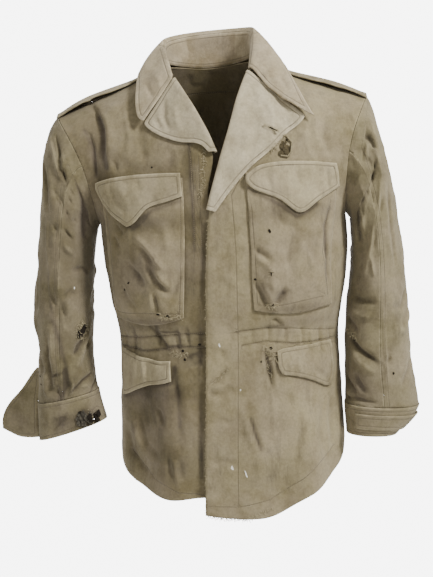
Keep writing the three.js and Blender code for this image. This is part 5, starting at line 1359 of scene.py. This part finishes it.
for node, (across, down, area, creases) in flaps.items():
    side = node.split("_")[-1]
    piece = from_wall(node, node + "_cloth", 2)
    straight = unlean(points_of(piece))
    beneath = [f"front_{side}"] + ([f"chest_pocket_{side}"] if node.startswith("chest") else [])
    dress(
        piece, node, flap_cloth, straight, straight[:, [0, 2]], body_way(straight), creases,
        "edge", on=beneath, seed=9, lumps=0.35, rumple=1.2,
        fade_and_light={"chest_flap_left": 0.66, "skirt_flap_left": 0.32}.get(node, 0.44), soil_and_shade=0.03, calm=5, rim=0.7
    )

# Lapels
# The fronts' upper corners, faced with the same cloth and folded out. The left one is broad and has a
# buttonhole near its corner, with a torn loop of cloth beside it, and the right one is small.
lapel_cloth = cotton("lapel cotton", (134, 123, 94), (198, 186, 156), edge_wear=1.0)
lapel_creases = {
    "left": [
        (3, -2.4, "soft", [(101, -67), (110, -76), (122, -92)]),
        (5, 2.0, "soft", [(88, -70), (96, -96), (92, -122)]),
        (6, -1.8, "soft", [(72, -86), (66, -126), (48, -160)]),
        (7, 1.8, "soft", [(60, -110), (46, -150), (24, -184)]), (5, -1.6, "soft", [(104, -112), (92, -126)])
    ],
    "right": [
        (4, -2.0, "soft", [(-66, -58), (-70, -84), (-62, -108)]),
        (5, 1.6, "soft", [(-52, -70), (-50, -104)]), (4, -2.0, "soft", [(-84, -86), (-76, -104)])
    ],
}
for side in ("left", "right"):
    piece = from_wall(f"lapel_{side}", f"lapel_cloth_{side}", 3, 75)
    straight = unlean(points_of(piece))
    dress(
        piece, f"lapel_{side}", lapel_cloth, straight, straight[:, [0, 2]],
        body_way(straight), lapel_creases[side], "edge",
        on=["front_right", f"front_{side}", f"chest_pocket_{side}", f"chest_flap_{side}"], seed=9,
        lumps=0.4, rumple=1.0, fade_and_light={"left": 0.68, "right": 0.5}[side], soil_and_shade=0.02, calm=5, rim=0.7,
        inside=0.2
    )
# A dark disc of painted shade in the buttonhole's slit.
marks("buttonhole", "lapel_left", [(93, -116, 9, 1.5, 30)], hole_shade_finish, 1.3)
buttonhole, stitch_count, slant = [], 34, math.radians(30)
at, out, level, down = spot_on("lapel_left", (91, -115))
along_hole = level * math.cos(slant) - down * math.sin(slant)
across_hole = level * math.sin(slant) + down * math.cos(slant)
for step in range(stitch_count):
    turn = step / stitch_count * 2 * math.pi
    ends = [along_hole * (half_long * math.cos(turn)) + across_hole * (half_wide * math.sin(turn))
            for half_long, half_wide in ((11, 1.5), (13, 3.4))]
    buttonhole.append([at + end / 1000 + out * 0.0012 for end in ends])
strands("buttonhole_stitches", buttonhole, 0.00045, thread_finish)
loop = []
for x, z, lift in (
    (106, -120, 0.5), (115, -126, 2.2), (119, -137, 3.2), (118, -149, 3.2), (112, -155, 2.4),
    (101, -155, 1.0)
):
    at, out, level, down = spot_on("front_left", (x, z))
    loop.append(at + out * lift / 1000)
strands("lapel_loop", [loop], 0.0018, plain_finish("torn loop", (146, 135, 106), 0.95, 0.3))
# Dark patches behind the loop: painted shade in its hollow and beneath it.
marks(
    "lapel_loop_hollow", "front_left",
    [(111, -134, 7, 8, 0), (111, -146, 7, 9, 0), (108, -140, 7, 9, 0), (104, -150, 6, 6, 0)],
    plain_finish("painted loop shade", (84, 75, 54), 1.0, 0.5), 0.8
)
frays("lapel_frays", 0.00028, [
    ("lapel_left", [(112, -122), (100, -134), (88, -146)], 50, 7, 0.6, 0.35),
    ("lapel_left", [(10, -216), (30, -192), (60, -164)], 30, 3, 0.2, 0.1),
])

# Shoulder straps
# Doubled tongues of the same cloth, sewn into the armhole seam and lying loose towards the collar, so that a
# dark gap shows under them; their undersides are darkened strongly as painted shade for that gap.
straps = {"left": (0.055, 0.140, 0.0068), "right": (0.055, 0.145, 0.0071)}
for side, (across, down, area) in straps.items():
    piece = from_wall(f"shoulder_strap_{side}", f"shoulder_strap_cloth_{side}", 2)
    straight = unlean(points_of(piece))
    dress(
        piece, f"shoulder_strap_{side}", flap_cloth, straight, straight[:, [0, 1]],
        body_way(straight),
        [(60, -1.6, "sewn", [(-240, -10), (240, -10)]), (9, -3.0, "sewn", [(-240, 24), (240, 24)])], "edge",
        on=[f"front_{side}", "back", f"top_sleeve_{side}"], seed=11, lumps=0.3, rumple=0.5, fade_and_light=0.3,
        # Their undersides are darkened strongly: painted shade in the gap beneath them.
        soil_and_shade=0.06, calm=5, rim=0.4, inside=1.3
    )

# Collar
# A stand sewn to the neck's edge and a deep leaf that falls from it, both doubled cloth. The leaf is the
# palest part, rubbed brown along its fold and edges.
collar_cloth = cotton("collar cotton", (134, 120, 90), (192, 178, 148), edge_wear=0.7)
collar_creases = [
    (4, -1.8, "soft", [(-96, -30), (-84, -56)]), (5, 1.6, "soft", [(-76, -20), (-70, -52)]),
    (4, -1.8, "soft", [(78, -26), (88, -52)]), (5, 1.6, "soft", [(96, -24), (110, -50)]),
    (4, -1.6, "soft", [(112, -34), (122, -58)]),
]
for node, flat, area in (("collar_stand", (0.460, 0.035), 0.0106), ("collar_leaf", (0.560, 0.095), 0.0410)):
    piece = from_wall(node, node + "_cloth", 3 if node == "collar_leaf" else 2, 75)
    straight = unlean(points_of(piece))
    dress(
        piece, node, collar_cloth, straight, straight[:, [0, 2]], body_way(straight),
        collar_creases if node == "collar_leaf" else (), "edge",
        [(-62, 16, 12, 14, 0.3), (-88, -22, 10, 10, 0.25), (66, 14, 10, 16, 0.25), (0, 30, 60, 8, 0.15)],
        on=[
            "front_left", "front_right", "back", "lapel_left", "lapel_right"
        ] if node == "collar_leaf" else (),
        seed=13, lumps=0.35, rumple=0.8, fade_and_light=0.42, soil_and_shade=0.02, calm=6,
        rim=0.6 if node == "collar_leaf" else 0.0, inside=0.15
    )

# Torn places on the sleeves
# Loose yarns round the tear in the right under sleeve and in the stained, worn cuff below it, worn eyelets by
# the cuff's vent, a speck of dried paint, and small holes in the left sleeve.
tear = [(46, 352), (58, 352), (64, 362), (54, 378), (42, 384), (36, 372), (46, 352)]
frays("sleeve_frays", 0.0003, [
    ("under_sleeve_right", tear, 60, 6, 0.2, 0.2),
    ("cuff_right", [(58, 534), (52, 544), (54, 554)], 14, 5, 0.3, 0.2),
    ("under_sleeve_left", [(20, 384), (40, 388), (52, 396)], 30, 6, 0.4, 0.35),
])
# A dark disc of painted shade in the tear.
marks("sleeve_holes_right", "under_sleeve_right", [(51, 368, 7, 12, 18)], hole_shade_finish)
marks(
    "cuff_stains_right", "cuff_right",
    [
        (67, 535, 6.5, 6, 0), (75, 534, 6, 5.5, 0), (82, 541, 6, 6.5, 0), (80, 550, 6, 6, 0),
        (71, 544, 8, 8, 0), (63, 544, 6, 7, 0), (71, 553, 7, 5, 0), (62, 553, 5, 4.5, 0),
        (56, 538, 3.4, 2, 30)
    ],
    plain_finish("stained cloth", (82, 77, 66), 1.0, 0.6), 0.6
)
# Dark discs of painted shade where the cuff is worn through.
marks(
    "cuff_holes_right", "cuff_right",
    [
        (60, 551, 5.5, 4, 20), (65, 555, 4, 3, 0), (74, 532, 3.4, 2.4, 0), (56, 545, 7, 6, 0),
        (49, 546, 7, 6, 0), (44, 549, 6, 6, 0), (40, 545, 6, 6, 0), (48, 554, 6, 5, 0), (43, 553, 5, 5, 0)
    ],
    hole_shade_finish, 0.9
)
# Dark discs of painted shade in the eyelets.
marks(
    "sleeve_eyelets_right", "top_sleeve_right",
    [(180, 447, 1.6, 1.8, 0), (163, 453, 1.7, 1.7, 0), (159, 468, 1.7, 1.6, 0)], hole_shade_finish
)
marks("sleeve_paint_right", "under_sleeve_right", [(67, 291, 1.0, 2.2, 0)], paint_finish)
# Dark discs of painted shade in the small holes.
marks("sleeve_holes_left", "top_sleeve_left", [(120, 448, 1.8, 2.4, 0)], hole_shade_finish)
marks(
    "sleeve_holes_left_inside", "under_sleeve_left", [(40, 392, 5, 1.4, -30), (48, 398, 4, 1.6, -40)],
    hole_shade_finish
)
